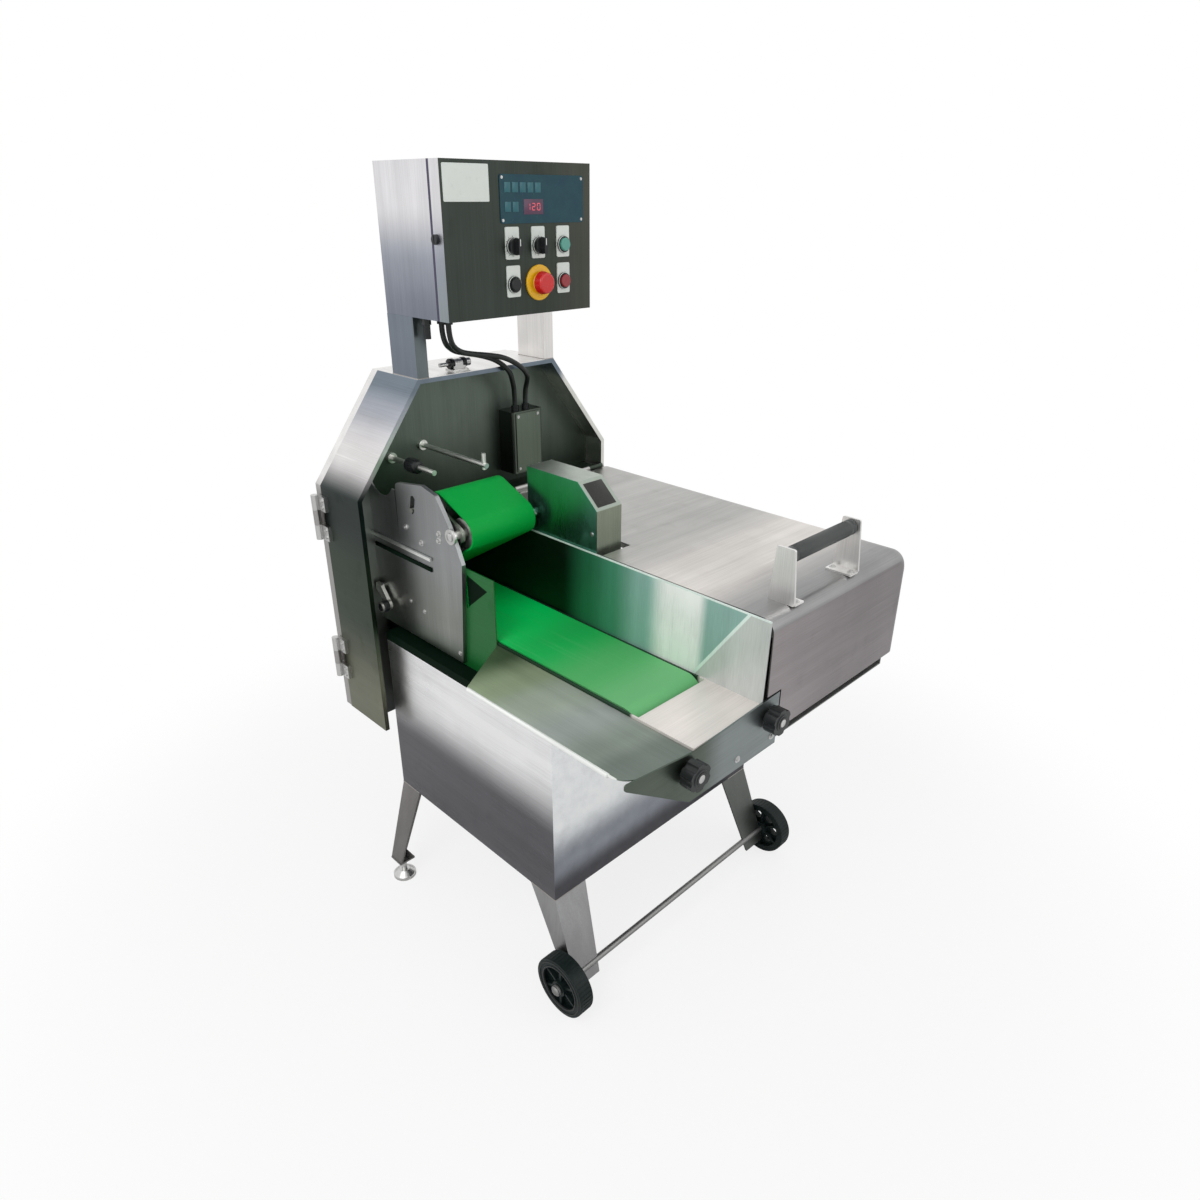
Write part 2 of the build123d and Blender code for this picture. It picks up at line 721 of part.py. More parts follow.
with BuildPart() as bed_pan:
    with BuildSketch(Plane.XY.offset(bed_z)):
        with Locations(((partition_x + pan_end_x) / 2, (pan_near_y + pan_far_y) / 2)):
            Rectangle(pan_end_x - partition_x, pan_far_y - pan_near_y)
        with Locations((slot_x, mid_y + 25)):
            Rectangle(36, 180, mode=Mode.SUBTRACT)
    extrude(amount=sheet)
    block(partition_x, pan_end_x, pan_far_y - sheet, pan_far_y, bed_z, bed_z + 26)
    wall = [
        (partition_x, bed_z), (pan_end_x, bed_z), (pan_end_x, apron_z), (short_wall_x, apron_z),
        (short_wall_x, apron_z + 122), (plate_front_x - 30, apron_z + 122), (plate_front_x - 30, bed_z + 60),
        (partition_x, bed_z + 60),
    ]
    side_sheet(wall, pan_near_y, pan_near_y + sheet)
    side_sheet(
        [(plate_front_x - 16, apron_z + 112), (short_wall_x - 18, apron_z + 96),
         (plate_front_x - 16, apron_z + 44)],
        pan_near_y - 1, pan_near_y + sheet + 1, Mode.SUBTRACT)
    tilt = math.radians(apron_tilt)
    apron_plane = Plane(
        origin=(0, pan_near_y + sheet / 2, apron_z), x_dir=(1, 0, 0),
        z_dir=(0, math.sin(tilt), math.cos(tilt)))
    with BuildSketch(apron_plane) as apron:
        with BuildLine():
            Polyline((short_wall_x, 0), (pan_end_x, 0), (pan_end_x, -apron_width),
                     (rim_start_x, -apron_width), close=True)
        make_face()
        fillet(apron.vertices().group_by(Axis.Y)[0].sort_by(Axis.X)[-1], 30)
    extrude(amount=-sheet)
    rim_y = pan_near_y - apron_width * math.cos(tilt) + 1
    rim_z = apron_z + apron_width * math.sin(tilt) - 1
    bar_x(rim_y, rim_z, 3.5, rim_start_x + 4, pan_end_x - 30)
    for gusset_x in (rim_start_x + 20, cab_front_x - 40, pan_end_x - 60):
        cross_sheet(
            [(pan_near_y + 1, apron_z - 1), (pan_near_y - 100, apron_z + 9), (pan_near_y + 1, bed_z + 8)],
            gusset_x, gusset_x + sheet)
    bar_x(screw_spots[0], screw_z, screw_r + 1, pan_end_x - 90, pan_end_x + 1, Mode.SUBTRACT)

end_plate_bottom = bed_z - 7
end_plate_far_y = screw_spots[1] + 26
with BuildPart() as end_plate:
    outline = [
        (rim_y - 1, rim_z - 8), (rim_y - 1, rim_z + 2), (pan_near_y, apron_z + 1),
        (end_plate_far_y, belt_top + 6), (end_plate_far_y, end_plate_bottom),
        (pan_near_y - 4, end_plate_bottom),
    ]
    cross_sheet(outline, pan_end_x, end_x)
    fillet(end_plate.edges().filter_by(Axis.X).sort_by(Axis.Y)[:2], 4)
    for y in screw_spots:
        bar_x(y, screw_z, screw_r + running, pan_end_x - 1, end_x + 1, Mode.SUBTRACT)

wall_front_x = pan_end_x
wall_foot_y = far_cheek_y + cheek
with BuildPart() as guide_wall:
    cross_sheet(
        [(wall_foot_y, floor_top), (wall_foot_y, belt_top + 2), (wall_foot_y + wall_lean, table_top),
         (wall_foot_y + wall_lean + sheet, table_top), (wall_foot_y + sheet, belt_top + 2),
         (wall_foot_y + sheet, floor_top)],
        partition_x, wall_front_x)
    bar_y(drive_x, belt_axis_z, roller_shaft_r + 3, wall_foot_y - 1, wall_foot_y + 5, Mode.SUBTRACT)
    bar_y(tail_x, belt_axis_z, roller_shaft_r + 3, wall_foot_y - 1, wall_foot_y + 5, Mode.SUBTRACT)

# Feed belt: cheeks and slider plate, belt loop, rollers and tension screws

nose_x = tail_x + belt_outer_r + 3
slider_top = belt_top - belt_sheet - seat
with BuildPart() as slider_bed:
    for y in (near_cheek_y, far_cheek_y):
        block(partition_x + 2, pan_end_x, y, y + cheek, floor_top, belt_top - 1)
    block(drive_x + belt_outer_r + 6, tail_x - belt_outer_r - 6, belt_near_y, belt_far_y,
          slider_top - sheet, slider_top)
    for station in (0.15, 0.5, 0.85):
        tie_x = drive_x + station * belt_centres
        block(tie_x - 15, tie_x + 15, near_cheek_y, far_cheek_y + cheek, belt_axis_z - 15, slider_top - sheet)
    block(nose_x, pan_end_x, near_cheek_y, far_cheek_y + cheek, apron_z - 2, belt_top - 1)
    for x in (drive_x, tail_x):
        bar_y(x, belt_axis_z, roller_shaft_r + running, near_cheek_y - 1, far_cheek_y + cheek + 1,
              Mode.SUBTRACT)

with BuildPart() as feed_belt:
    feed_centres = [(drive_x, belt_axis_z), (tail_x, belt_axis_z)]
    belt_hull(feed_centres, belt_outer_r, belt_near_y, belt_far_y)
    belt_hull(feed_centres, belt_inner_r, belt_near_y - 1, belt_far_y + 1, Mode.SUBTRACT)

gearbox_near_y = mid_y - 20
gearbox_far_y = mid_y + 50
with BuildPart() as drive_roller:
    bar_y(drive_x, belt_axis_z, roller_r, belt_near_y, belt_far_y)
    bar_y(drive_x, belt_axis_z, roller_shaft_r, near_cheek_y, gearbox_far_y - 10)

with BuildPart() as tail_roller:
    bar_y(tail_x, belt_axis_z, roller_r, belt_near_y, belt_far_y)
    bar_y(tail_x, belt_axis_z, roller_shaft_r, near_cheek_y, wall_foot_y + 12)


def tension_knob(y):
    """A lobed hand knob on its tension screw."""
    bar_x(y, screw_z, screw_r, tail_x + 20, end_x + 6)
    bar_x(y, screw_z, 9, end_x + seat, end_x + 6)
    with BuildSketch(Plane.YZ.offset(end_x + 5)) as lobes:
        with Locations((y, screw_z)):
            Circle(knob_r)
            with PolarLocations(knob_r + 4, 6):
                Circle(7, mode=Mode.SUBTRACT)
    extrude(lobes.sketch, amount=knob_depth - 5)
    bar_x(y, screw_z, 10, end_x + knob_depth - 1, end_x + knob_depth + 2)


with BuildPart() as tension_knob_near:
    tension_knob(screw_spots[0])

with BuildPart() as tension_knob_far:
    tension_knob(screw_spots[1])

# Near side plate with its ledge, slot, bracket and clamp lever

press_z = belt_top + press_axis_rise
press_near_y = belt_y - press_width / 2
press_far_y = belt_y + press_width / 2
arm_near_y = press_near_y - 5 - arm_sheet
arm_far_y = press_far_y + 5
plate_outer_y = pan_near_y - side_plate_sheet
bracket_front_x = plate_front_x - bracket_setback
top_axis = (press_axis_x - 67, press_z + 28)
rear_axis = (press_axis_x - 202, press_z - 120)
pin_axis = (press_axis_x - 118, press_z + 18)
press_centres = [(press_axis_x, press_z), top_axis, rear_axis]
lift_angle = 11.0
guide_pin_r = 5.0

with BuildPart() as side_plate:
    outline = [
        (partition_x, bed_z + 8), (plate_front_x - 28, bed_z + 8), (plate_front_x - 11, press_z - 47),
        (plate_front_x - 22, press_z - 22), (plate_front_x - 42, press_z + 16),
        (plate_front_x - 76, press_z + 63), (plate_front_x - 116, press_z + 72),
        (plate_front_x - 201, press_z + 59), (plate_front_x - 206, press_z - 60),
        (partition_x, press_z - 60),
    ]
    side_sheet(outline, plate_outer_y, pan_near_y)
    fillet(side_plate.edges().filter_by(Axis.Y).sort_by(Axis.Z)[-3:], 10)
    block(partition_x, plate_front_x - 100, plate_outer_y - 6, plate_outer_y, press_z - 64, press_z - 58)
    bar_y(press_axis_x, press_z, press_shaft_r + running, plate_outer_y - 1, pan_near_y + 1, Mode.SUBTRACT)
    turn = math.radians(lift_angle)
    arm_x, arm_z = pin_axis[0] - press_axis_x, pin_axis[1] - press_z
    lifted = (press_axis_x + arm_x * math.cos(turn) + arm_z * math.sin(turn),
              press_z - arm_x * math.sin(turn) + arm_z * math.cos(turn))
    with BuildSketch(Plane.XZ.offset(-plate_outer_y)):
        with Locations(((pin_axis[0] + lifted[0]) / 2, (pin_axis[1] + lifted[1]) / 2)):
            SlotCenterToCenter(
                math.dist(pin_axis, lifted), 2 * guide_pin_r + 3,
                rotation=math.degrees(math.atan2(lifted[1] - pin_axis[1], lifted[0] - pin_axis[0])))
    extrude(amount=-side_plate_sheet, mode=Mode.SUBTRACT)
    with BuildSketch(Plane.XZ.offset(-plate_outer_y)) as bracket:
        with Locations(((partition_x + bracket_front_x) / 2, press_z - 8)):
            Rectangle(bracket_front_x - partition_x, 104)
        with Locations(((partition_x + bracket_front_x) / 2, press_z + 66)):
            Circle(42, mode=Mode.SUBTRACT)
    extrude(amount=-3)
    bar_y(partition_x + 14, belt_top + 1, 6, plate_outer_y - 5, plate_outer_y)

lever_pivot = (partition_x + 14, belt_top + 1)
with BuildPart() as clamp_lever:
    side_sheet(
        [(lever_pivot[0] - 8, lever_pivot[1] + 9), (lever_pivot[0] + 9, lever_pivot[1] + 5),
         (lever_pivot[0] + 34, lever_pivot[1] - 26), (lever_pivot[0] + 26, lever_pivot[1] - 32),
         (lever_pivot[0] - 9, lever_pivot[1] - 8)],
        plate_outer_y - 12, plate_outer_y - 5 - seat, radius=3)
    bar_y(lever_pivot[0] + 31, lever_pivot[1] - 29, 10, plate_outer_y - 30, plate_outer_y - 8)

# Press unit: two arms, a belt round three rollers, guide pin

pivot_bore = press_shaft_r + running
arm_r = 16.0
with BuildPart() as press_frame:
    belt_hull(press_centres + [pin_axis], arm_r, arm_near_y, arm_near_y + arm_sheet)
    belt_hull(press_centres, arm_r, arm_far_y, arm_far_y + arm_sheet)
    for x, z in ((press_axis_x - 90, press_z - 31), (press_axis_x - 142, press_z - 63)):
        bar_y(x, z, 9, arm_near_y, arm_far_y + arm_sheet)
    bar_y(*pin_axis, guide_pin_r, plate_outer_y - 3, arm_near_y + 1)
    for x, z in press_centres:
        bar_y(x, z, pivot_bore, arm_near_y - 1, arm_far_y + arm_sheet + 1, Mode.SUBTRACT)

with BuildPart() as press_belt:
    belt_hull(press_centres, belt_outer_r, press_near_y, press_far_y)
    belt_hull(press_centres, belt_inner_r, press_near_y - 1, press_far_y + 1, Mode.SUBTRACT)


def press_roller(axis, y0, y1):
    """A press belt roller with its shaft from y0 to y1."""
    bar_y(*axis, roller_r, press_near_y, press_far_y)
    bar_y(*axis, press_shaft_r, y0, y1)


guard_near_y = wall_foot_y + wall_lean + sheet + 2
guard_far_y = guard_near_y + guard_width

with BuildPart() as press_front_roller:
    press_roller(press_centres[0], plate_outer_y - 6, guard_near_y + 25)

with BuildPart() as press_top_roller:
    press_roller(top_axis, arm_near_y, arm_far_y + arm_sheet)

with BuildPart() as press_rear_roller:
    press_roller(rear_axis, arm_near_y, arm_far_y + arm_sheet)

rod_r = 5.0
rod_near_length = 142.0
rod_far_length = 204.0
rod_y = belt_y - 37
bar2_y = belt_y + 34
rod_z = press_z + 75
with BuildPart() as pressure_rods:
    bar_x(rod_y, rod_z, rod_r, partition_x, partition_x + rod_near_length)
    bar_x(rod_y, rod_z, 12, partition_x + 66, partition_x + 88)
    bar_x(rod_y, rod_z, 10, partition_x, partition_x + 5)
    bar_x(bar2_y, rod_z + 12, rod_r, partition_x, partition_x + rod_far_length)
    bar_x(bar2_y, rod_z + 12, 10, partition_x, partition_x + 5)
    bar_z(partition_x + rod_far_length - 8, bar2_y, 4, rod_z + 4, rod_z + 34)

guard_top = table_top + guard_rise
with BuildPart() as press_guard:
    side_sheet(
        [(guard_rear_x, floor_top), (guard_front_x, floor_top), (guard_front_x, guard_top - 43),
         (guard_front_x - 48, guard_top), (guard_rear_x, guard_top)],
        guard_near_y, guard_far_y)
    offset(amount=-sheet, openings=press_guard.faces().sort_by(Axis.Z)[0])
    bar_y(press_axis_x, press_z, press_shaft_r + running, guard_near_y - 1, guard_near_y + 5, Mode.SUBTRACT)

# Drive cover: the table lid over the drives, and its handle

cover_rear_x = lid_axis_x + 2
notch_x = guard_front_x + notch_gap
notch_y = guard_far_y + 10
with BuildPart() as drive_cover:
    block(cover_rear_x, end_x, table_near_y, table_far_y, bed_z + lid_clear, table_top)
    fillet(drive_cover.edges().filter_by(Axis.X).group_by(Axis.Z)[-1].sort_by(Axis.Y)[-1], table_bend_r)
    fillet(drive_cover.edges().filter_by(Axis.Z).sort_by(lambda edge: edge.center().X + edge.center().Y)[-1],
           table_corner_r)
    offset(amount=-sheet, openings=drive_cover.faces().sort_by(Axis.Z)[0])
    block(cover_rear_x - 1, cover_rear_x + sheet, table_near_y - 1, table_far_y + 1, bed_z - 1,
          table_top - sheet, Mode.SUBTRACT)
    block(cover_rear_x - 1, end_x - sheet, table_near_y - 1, table_near_y + sheet, bed_z - 1,
          table_top - 27, Mode.SUBTRACT)
    block(cover_rear_x - 1, notch_x, table_near_y - 1, notch_y, bed_z - 1, table_top + 1, Mode.SUBTRACT)
    block(end_x - 10, end_x + 1, table_near_y - 1, end_plate_far_y + 3, bed_z - 1, belt_top + 9,
          Mode.SUBTRACT)
    for y in lid_hinges:
        y0, y1 = y - lid_segment / 2 + seat, y + lid_segment / 2 - seat
        bar_y(lid_axis_x, lid_axis_z, lid_knuckle_r, y0, y1)
        block(lid_axis_x, lid_axis_x + 18, y0, y1, table_top - 1, table_top + 2)
        bar_y(lid_axis_x, lid_axis_z, lid_pin_r + running, y0, y1, Mode.SUBTRACT)

handle_rise = 79.0
handle_near_y = table_near_y + 60
handle_span = 190.0
handle_x = end_x - 32
grip_r = 11.0
with BuildPart() as cover_handle:
    for y in (handle_near_y, handle_near_y + handle_span - plate):
        side_sheet(
            [(handle_x - 24, table_top), (handle_x + 24, table_top),
             (handle_x + 16, table_top + handle_rise + 11), (handle_x - 16, table_top + handle_rise + 11)],
            y, y + plate, radius=3)
    for y in (handle_near_y + plate, handle_near_y + handle_span - plate - 22):
        block(handle_x - 24, handle_x + 24, y - 1, y + 22, table_top, table_top + 3)
    bar_y(handle_x, table_top + handle_rise - 4, grip_r, handle_near_y, handle_near_y + handle_span)

# Cutter: disc, sickle knives, shaft, bearings, pulleys, belt and motor

knife_front_x = partition_x - plate - knife_gap
disc_front_x = knife_front_x - knife_sheet


def at_cutter(x):
    """Plane across the cutter axis at this x, with local x along Y and local y along Z."""
    return Plane(origin=(x, mid_y, cutter_z), x_dir=(0, 1, 0), z_dir=(1, 0, 0))


with BuildPart() as cutter_disc:
    with BuildSketch(at_cutter(disc_front_x - disc_sheet)):
        Circle(disc_r)
        with PolarLocations(70, 4, start_angle=45):
            Circle(20, mode=Mode.SUBTRACT)
    extrude(amount=disc_sheet)
    bar_x(mid_y, cutter_z, shaft_r + 15, disc_front_x - disc_sheet - 22, disc_front_x)
    bar_x(mid_y, cutter_z, shaft_r, disc_front_x - 60, disc_front_x + 1, Mode.SUBTRACT)



def knife_point(heel, radius, degrees):
    """A point at this radius, this many degrees round from the knife's heel."""
    angle = math.radians(heel + degrees)
    return (radius * math.cos(angle), radius * math.sin(angle))


with BuildPart() as cutter_knives:
    for heel in (-60, 120):
        heel_front, heel_back = knife_point(heel, 60, 0), knife_point(heel, 60, 50)
        tip_front, tip_back = knife_point(heel, knife_tip_r, 62), knife_point(heel, knife_tip_r - 16, 68)
        with BuildSketch(at_cutter(disc_front_x)):
            with BuildLine():
                ThreePointArc(heel_front, knife_point(heel, 175, 12), tip_front)
                Line(tip_front, tip_back)
                ThreePointArc(tip_back, knife_point(heel, 140, 40), heel_back)
                Line(heel_back, heel_front)
            make_face()
            with Locations(knife_point(heel, 80, 24), knife_point(heel, 98, 32)):
                Circle(4.5, mode=Mode.SUBTRACT)
        extrude(amount=knife_sheet)

bearing_depth = 34.0
stand_x = partition_x + 165
with BuildPart() as cutter_shaft:
    bar_x(mid_y, cutter_z, shaft_r, disc_front_x - disc_sheet - 22, slot_x + shaft_tail)

with BuildPart() as shaft_bearings:
    block(partition_x, partition_x + 10, mid_y - 40, mid_y + 40, cutter_z - 40, cutter_z + 40)
    bar_x(mid_y, cutter_z, 30, partition_x, partition_x + bearing_depth)
    bar_x(mid_y, cutter_z, shaft_r + running, partition_x - 1, partition_x + bearing_depth + 1, Mode.SUBTRACT)
    cross_sheet(
        [(mid_y - 70, floor_top), (mid_y + 70, floor_top), (mid_y + 70, floor_top + 14),
         (mid_y + 32, floor_top + 20), (mid_y + 32, cutter_z + 10), (mid_y + 18, cutter_z + 32),
         (mid_y - 18, cutter_z + 32), (mid_y - 32, cutter_z + 10), (mid_y - 32, floor_top + 20),
         (mid_y - 70, floor_top + 14)],
        stand_x, stand_x + bearing_depth)
    bar_x(mid_y, cutter_z, shaft_r + running, stand_x - 1, stand_x + bearing_depth + 1, Mode.SUBTRACT)

vee_depth = 9.0
vee_width = 12.0
motor_y = mid_y + 40
motor_rear_x = slot_x + 26
motor_shaft_seat = 4.0
motor_z = leg_height + sheet + motor_height


def pulley(x, y, z, radius, bore):
    """A grooved pulley on a bore, for a belt of the vee's width."""
    bar_x(y, z, radius + vee_depth + 1, x - vee_width, x + vee_width)
    with BuildSketch(Plane(origin=(x - vee_width / 2 - 1, y, z), x_dir=(0, 1, 0), z_dir=(1, 0, 0))) as groove:
        Circle(radius + vee_depth + 2)
        Circle(radius, mode=Mode.SUBTRACT)
    extrude(groove.sketch, amount=vee_width + 2, mode=Mode.SUBTRACT)
    bar_x(y, z, bore, x - 2 * vee_width, x + 2 * vee_width, Mode.SUBTRACT)


with BuildPart() as cutter_pulley:
    pulley(slot_x, mid_y, cutter_z, big_pulley_r, shaft_r)

with BuildPart() as motor_pulley:
    pulley(slot_x, motor_y, motor_z, small_pulley_r, motor_shaft_r)
    bar_x(motor_y, motor_z, motor_shaft_r, slot_x - vee_width, motor_rear_x + motor_shaft_seat)

with BuildPart() as drive_belt:
    for radius, mode in ((vee_depth + seat, Mode.ADD), (seat, Mode.SUBTRACT)):
        with BuildSketch(Plane.YZ.offset(slot_x - vee_width / 2)) as run:
            with Locations((mid_y, cutter_z)):
                Circle(big_pulley_r + radius)
            with Locations((motor_y, motor_z)):
                Circle(small_pulley_r + radius)
            make_hull()
        extrude(run.sketch, amount=vee_width, mode=mode)

with BuildPart() as cutter_motor:
    bar_x(motor_y, motor_z, motor_r, motor_rear_x, motor_rear_x + motor_length)
    with BuildSketch(Plane(origin=(motor_rear_x + 30, motor_y, motor_z), x_dir=(0, 1, 0), z_dir=(1, 0, 0))):
        with PolarLocations(motor_r + 4, 24):
            Rectangle(12, 3)
    extrude(amount=motor_length - 80)
    block(motor_rear_x + 50, motor_rear_x + 180, motor_y - 85, motor_y + 85,
          leg_height + sheet, leg_height + sheet + 10)
    block(motor_rear_x + 50, motor_rear_x + 180, motor_y - 55, motor_y + 55,
          leg_height + sheet, motor_z - 40)
    block(motor_rear_x + 80, motor_rear_x + 160, motor_y - 40, motor_y + 40, motor_z + 50, motor_z + 100)
    bar_x(motor_y, motor_z, motor_shaft_r + 1, motor_rear_x - 1, motor_rear_x + 10, Mode.SUBTRACT)

gearbox_rear_x = partition_x + 3
with BuildPart() as feed_gearmotor:
    block(gearbox_rear_x, gearbox_rear_x + 100, gearbox_near_y, gearbox_far_y, floor_top, belt_axis_z + 38)
    fillet(feed_gearmotor.edges().filter_by(Axis.Y), 6)
    bar_y(gearbox_rear_x + 52, belt_axis_z + 2, 40, gearbox_far_y - 1, gearbox_far_y + 170)
    bar_y(drive_x, belt_axis_z, roller_shaft_r + running, gearbox_near_y - 1, gearbox_far_y - 8,
          Mode.SUBTRACT)

# Labels and files

pieces = {
    "cabinet": cabinet, "base_gasket": base_gasket, "front_legs": front_legs, "rear_legs": rear_legs,
    "levelling_feet": levelling_feet, "wheel_axle": wheel_axle, "wheel_near": wheel_near,
    "wheel_far": wheel_far, "head_band": head_band, "partition_plate": partition_plate,
    "cover_hinges": cover_hinges, "rear_cover": rear_cover, "interlock_housing": interlock_housing,
    "interlock_bolt": interlock_bolt, "control_posts": control_posts, "control_box": control_box,
    "control_door": control_door, "door_lock": door_lock, "display_panel": display_panel,
    "legend_plates": legend_plates, "switch_bodies": switch_bodies, "speed_knob": speed_knob,
    "mode_knob": mode_knob, "start_button": start_button, "jog_button": jog_button,
    "stop_button": stop_button, "emergency_button": emergency_button, "control_gear": control_gear,
    "junction_box": junction_box, "cable_glands": cable_glands, "control_cables": control_cables,
    "bed_pan": bed_pan, "end_plate": end_plate, "guide_wall": guide_wall, "slider_bed": slider_bed,
    "feed_belt": feed_belt, "drive_roller": drive_roller, "tail_roller": tail_roller,
    "tension_knob_near": tension_knob_near, "tension_knob_far": tension_knob_far,
    "side_plate": side_plate, "clamp_lever": clamp_lever, "press_frame": press_frame,
    "press_belt": press_belt, "press_front_roller": press_front_roller,
    "press_top_roller": press_top_roller, "press_rear_roller": press_rear_roller,
    "pressure_rods": pressure_rods, "press_guard": press_guard, "drive_cover": drive_cover,
    "cover_handle": cover_handle, "cutter_disc": cutter_disc, "cutter_knives": cutter_knives,
    "cutter_shaft": cutter_shaft, "shaft_bearings": shaft_bearings, "cutter_pulley": cutter_pulley,
    "motor_pulley": motor_pulley, "drive_belt": drive_belt, "cutter_motor": cutter_motor,
    "feed_gearmotor": feed_gearmotor,
}
for name, piece in pieces.items():
    piece.part.label = name
    export_step(piece.part, f"parts/{name}.step")
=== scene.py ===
"""Looks, light and camera for the belt vegetable cutting machine.

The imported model's frame: +X towards the feed end, -Y the operator's side, +Z up from the
floor. Places are in metres. Profiles, sizes in fields and shade distances are in millimetres.
"""
import logging
import math
from dataclasses import dataclass
from enum import Enum
from functools import cache
from typing import Mapping, Optional, Sequence, Union

import bmesh
import bpy
from mathutils import Matrix, Vector


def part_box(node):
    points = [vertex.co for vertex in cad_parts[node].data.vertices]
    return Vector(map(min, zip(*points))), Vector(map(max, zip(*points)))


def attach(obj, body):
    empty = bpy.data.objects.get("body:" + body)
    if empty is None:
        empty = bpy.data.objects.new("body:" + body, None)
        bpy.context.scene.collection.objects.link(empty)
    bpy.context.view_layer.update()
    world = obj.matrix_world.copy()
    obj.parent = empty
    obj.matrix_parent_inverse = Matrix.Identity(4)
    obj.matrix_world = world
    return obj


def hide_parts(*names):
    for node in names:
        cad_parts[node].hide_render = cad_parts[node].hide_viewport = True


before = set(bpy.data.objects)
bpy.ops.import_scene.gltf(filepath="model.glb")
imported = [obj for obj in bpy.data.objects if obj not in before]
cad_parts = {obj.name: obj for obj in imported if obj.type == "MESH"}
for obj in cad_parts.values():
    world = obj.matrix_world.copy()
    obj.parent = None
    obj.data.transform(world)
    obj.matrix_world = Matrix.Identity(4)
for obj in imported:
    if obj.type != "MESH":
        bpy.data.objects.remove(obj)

log = logging.getLogger("vegetable_cutter")

MM = 0.001
Colour = tuple[float, float, float]
Point = tuple[float, float, float]
Spot = tuple[Point, Point]
Pair = tuple[float, float]
Key = Union[int, str]
Inputs = Mapping[Key, object]
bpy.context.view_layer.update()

FEEDWARD: Point = (1, 0, 0)
REARWARD: Point = (-1, 0, 0)
NEARWARD: Point = (0, -1, 0)
UPWARD: Point = (0, 0, 1)
SMOOTH_LIMIT = math.radians(35.0)
SIDES = ("near", "far")


class Axis(Enum):
    """An axis of the machine's frame."""

    X = 0
    Y = 1
    Z = 2

    @property
    def vector(self) -> Vector:
        """The axis as a unit vector."""
        return Vector([1.0 if place == self.value else 0.0 for place in range(3)])

    def spoke(self, angle: float) -> Vector:
        """The direction at this angle round the axis."""
        first, second = [other.vector for other in Axis if other is not self]
        return first * math.cos(angle) + second * math.sin(angle)


X, Y, Z = Axis


class Head(Enum):
    """The kinds of screw head on the machine, each with its number of sides."""

    HEX = 6
    PAN = 20


@dataclass
class Wire:
    """A node's output, where it has one, that can be used in ordinary arithmetic."""

    tree: "Tree"
    socket: Optional[bpy.types.NodeSocket]

    def maths(self, operation: str, other: "Value") -> "Wire":
        """This value and another one through a Math node."""
        return self.tree.node("ShaderNodeMath", {"operation": operation}, {0: self, 1: other})

    def __add__(self, other: "Value") -> "Wire":
        """self + other."""
        return self.maths("ADD", other)

    def __sub__(self, other: "Value") -> "Wire":
        """self - other."""
        return self.maths("SUBTRACT", other)

    def __mul__(self, other: "Value") -> "Wire":
        """self * other."""
        return self.maths("MULTIPLY", other)

    def larger(self, other: "Value") -> "Wire":
        """The larger of the two values."""
        return self.maths("MAXIMUM", other)

    def span(self, low: float, high: float) -> "Wire":
        """A smooth 0 to 1 as the value goes from low to high."""
        return self.tree.node(
            "ShaderNodeMapRange", {"interpolation_type": "SMOOTHSTEP"}, {0: self, 1: low, 2: high})


Value = Union[Wire, float]


class Tree:
    """A node tree being filled in."""

    def __init__(self, graph: bpy.types.NodeTree) -> None:
        """Takes up a tree and empties it."""
        self.graph = graph
        graph.nodes.clear()

    def node(
        self, kind: str, settings: Optional[Inputs] = None, inputs: Optional[Inputs] = None, out: Key = 0,
    ) -> Wire:
        """Adds any node.

        Args:
            kind: the node's type.
            settings: its properties, set before its sockets.
            inputs: a Wire or a plain value for each input; a list links several.
            out: which output to hand back.

        Returns:
            The chosen output.
        """
        made = self.graph.nodes.new(kind)
        for key, value in (settings or {}).items():
            setattr(made, key, value)
        for key, value in (inputs or {}).items():
            for one in value if isinstance(value, list) else [value]:
                if isinstance(one, Wire):
                    self.graph.links.new(one.socket, made.inputs[key])
                else:
                    made.inputs[key].default_value = one
        return Wire(self, made.outputs[out] if made.outputs else None)


@dataclass(frozen=True)
class Shade:
    """A painted change of light or shade to another tone along one axis.

    It goes from start to end, in millimetres from its origin. The new tone can have shades of
    its own. A change that leans moves along its axis by that share of the height.
    """

    axis: Axis
    origin: float
    start: float
    end: float
    tone: Colour
    own: tuple["Shade", ...] = ()
    lean: float = 0.0


def shades(axis: Axis, origin: float, *rows: tuple) -> tuple[Shade, ...]:
    """Shades along one axis from one origin; a row has the rest of a Shade's values."""
    return tuple(Shade(axis, origin, *row) for row in rows)


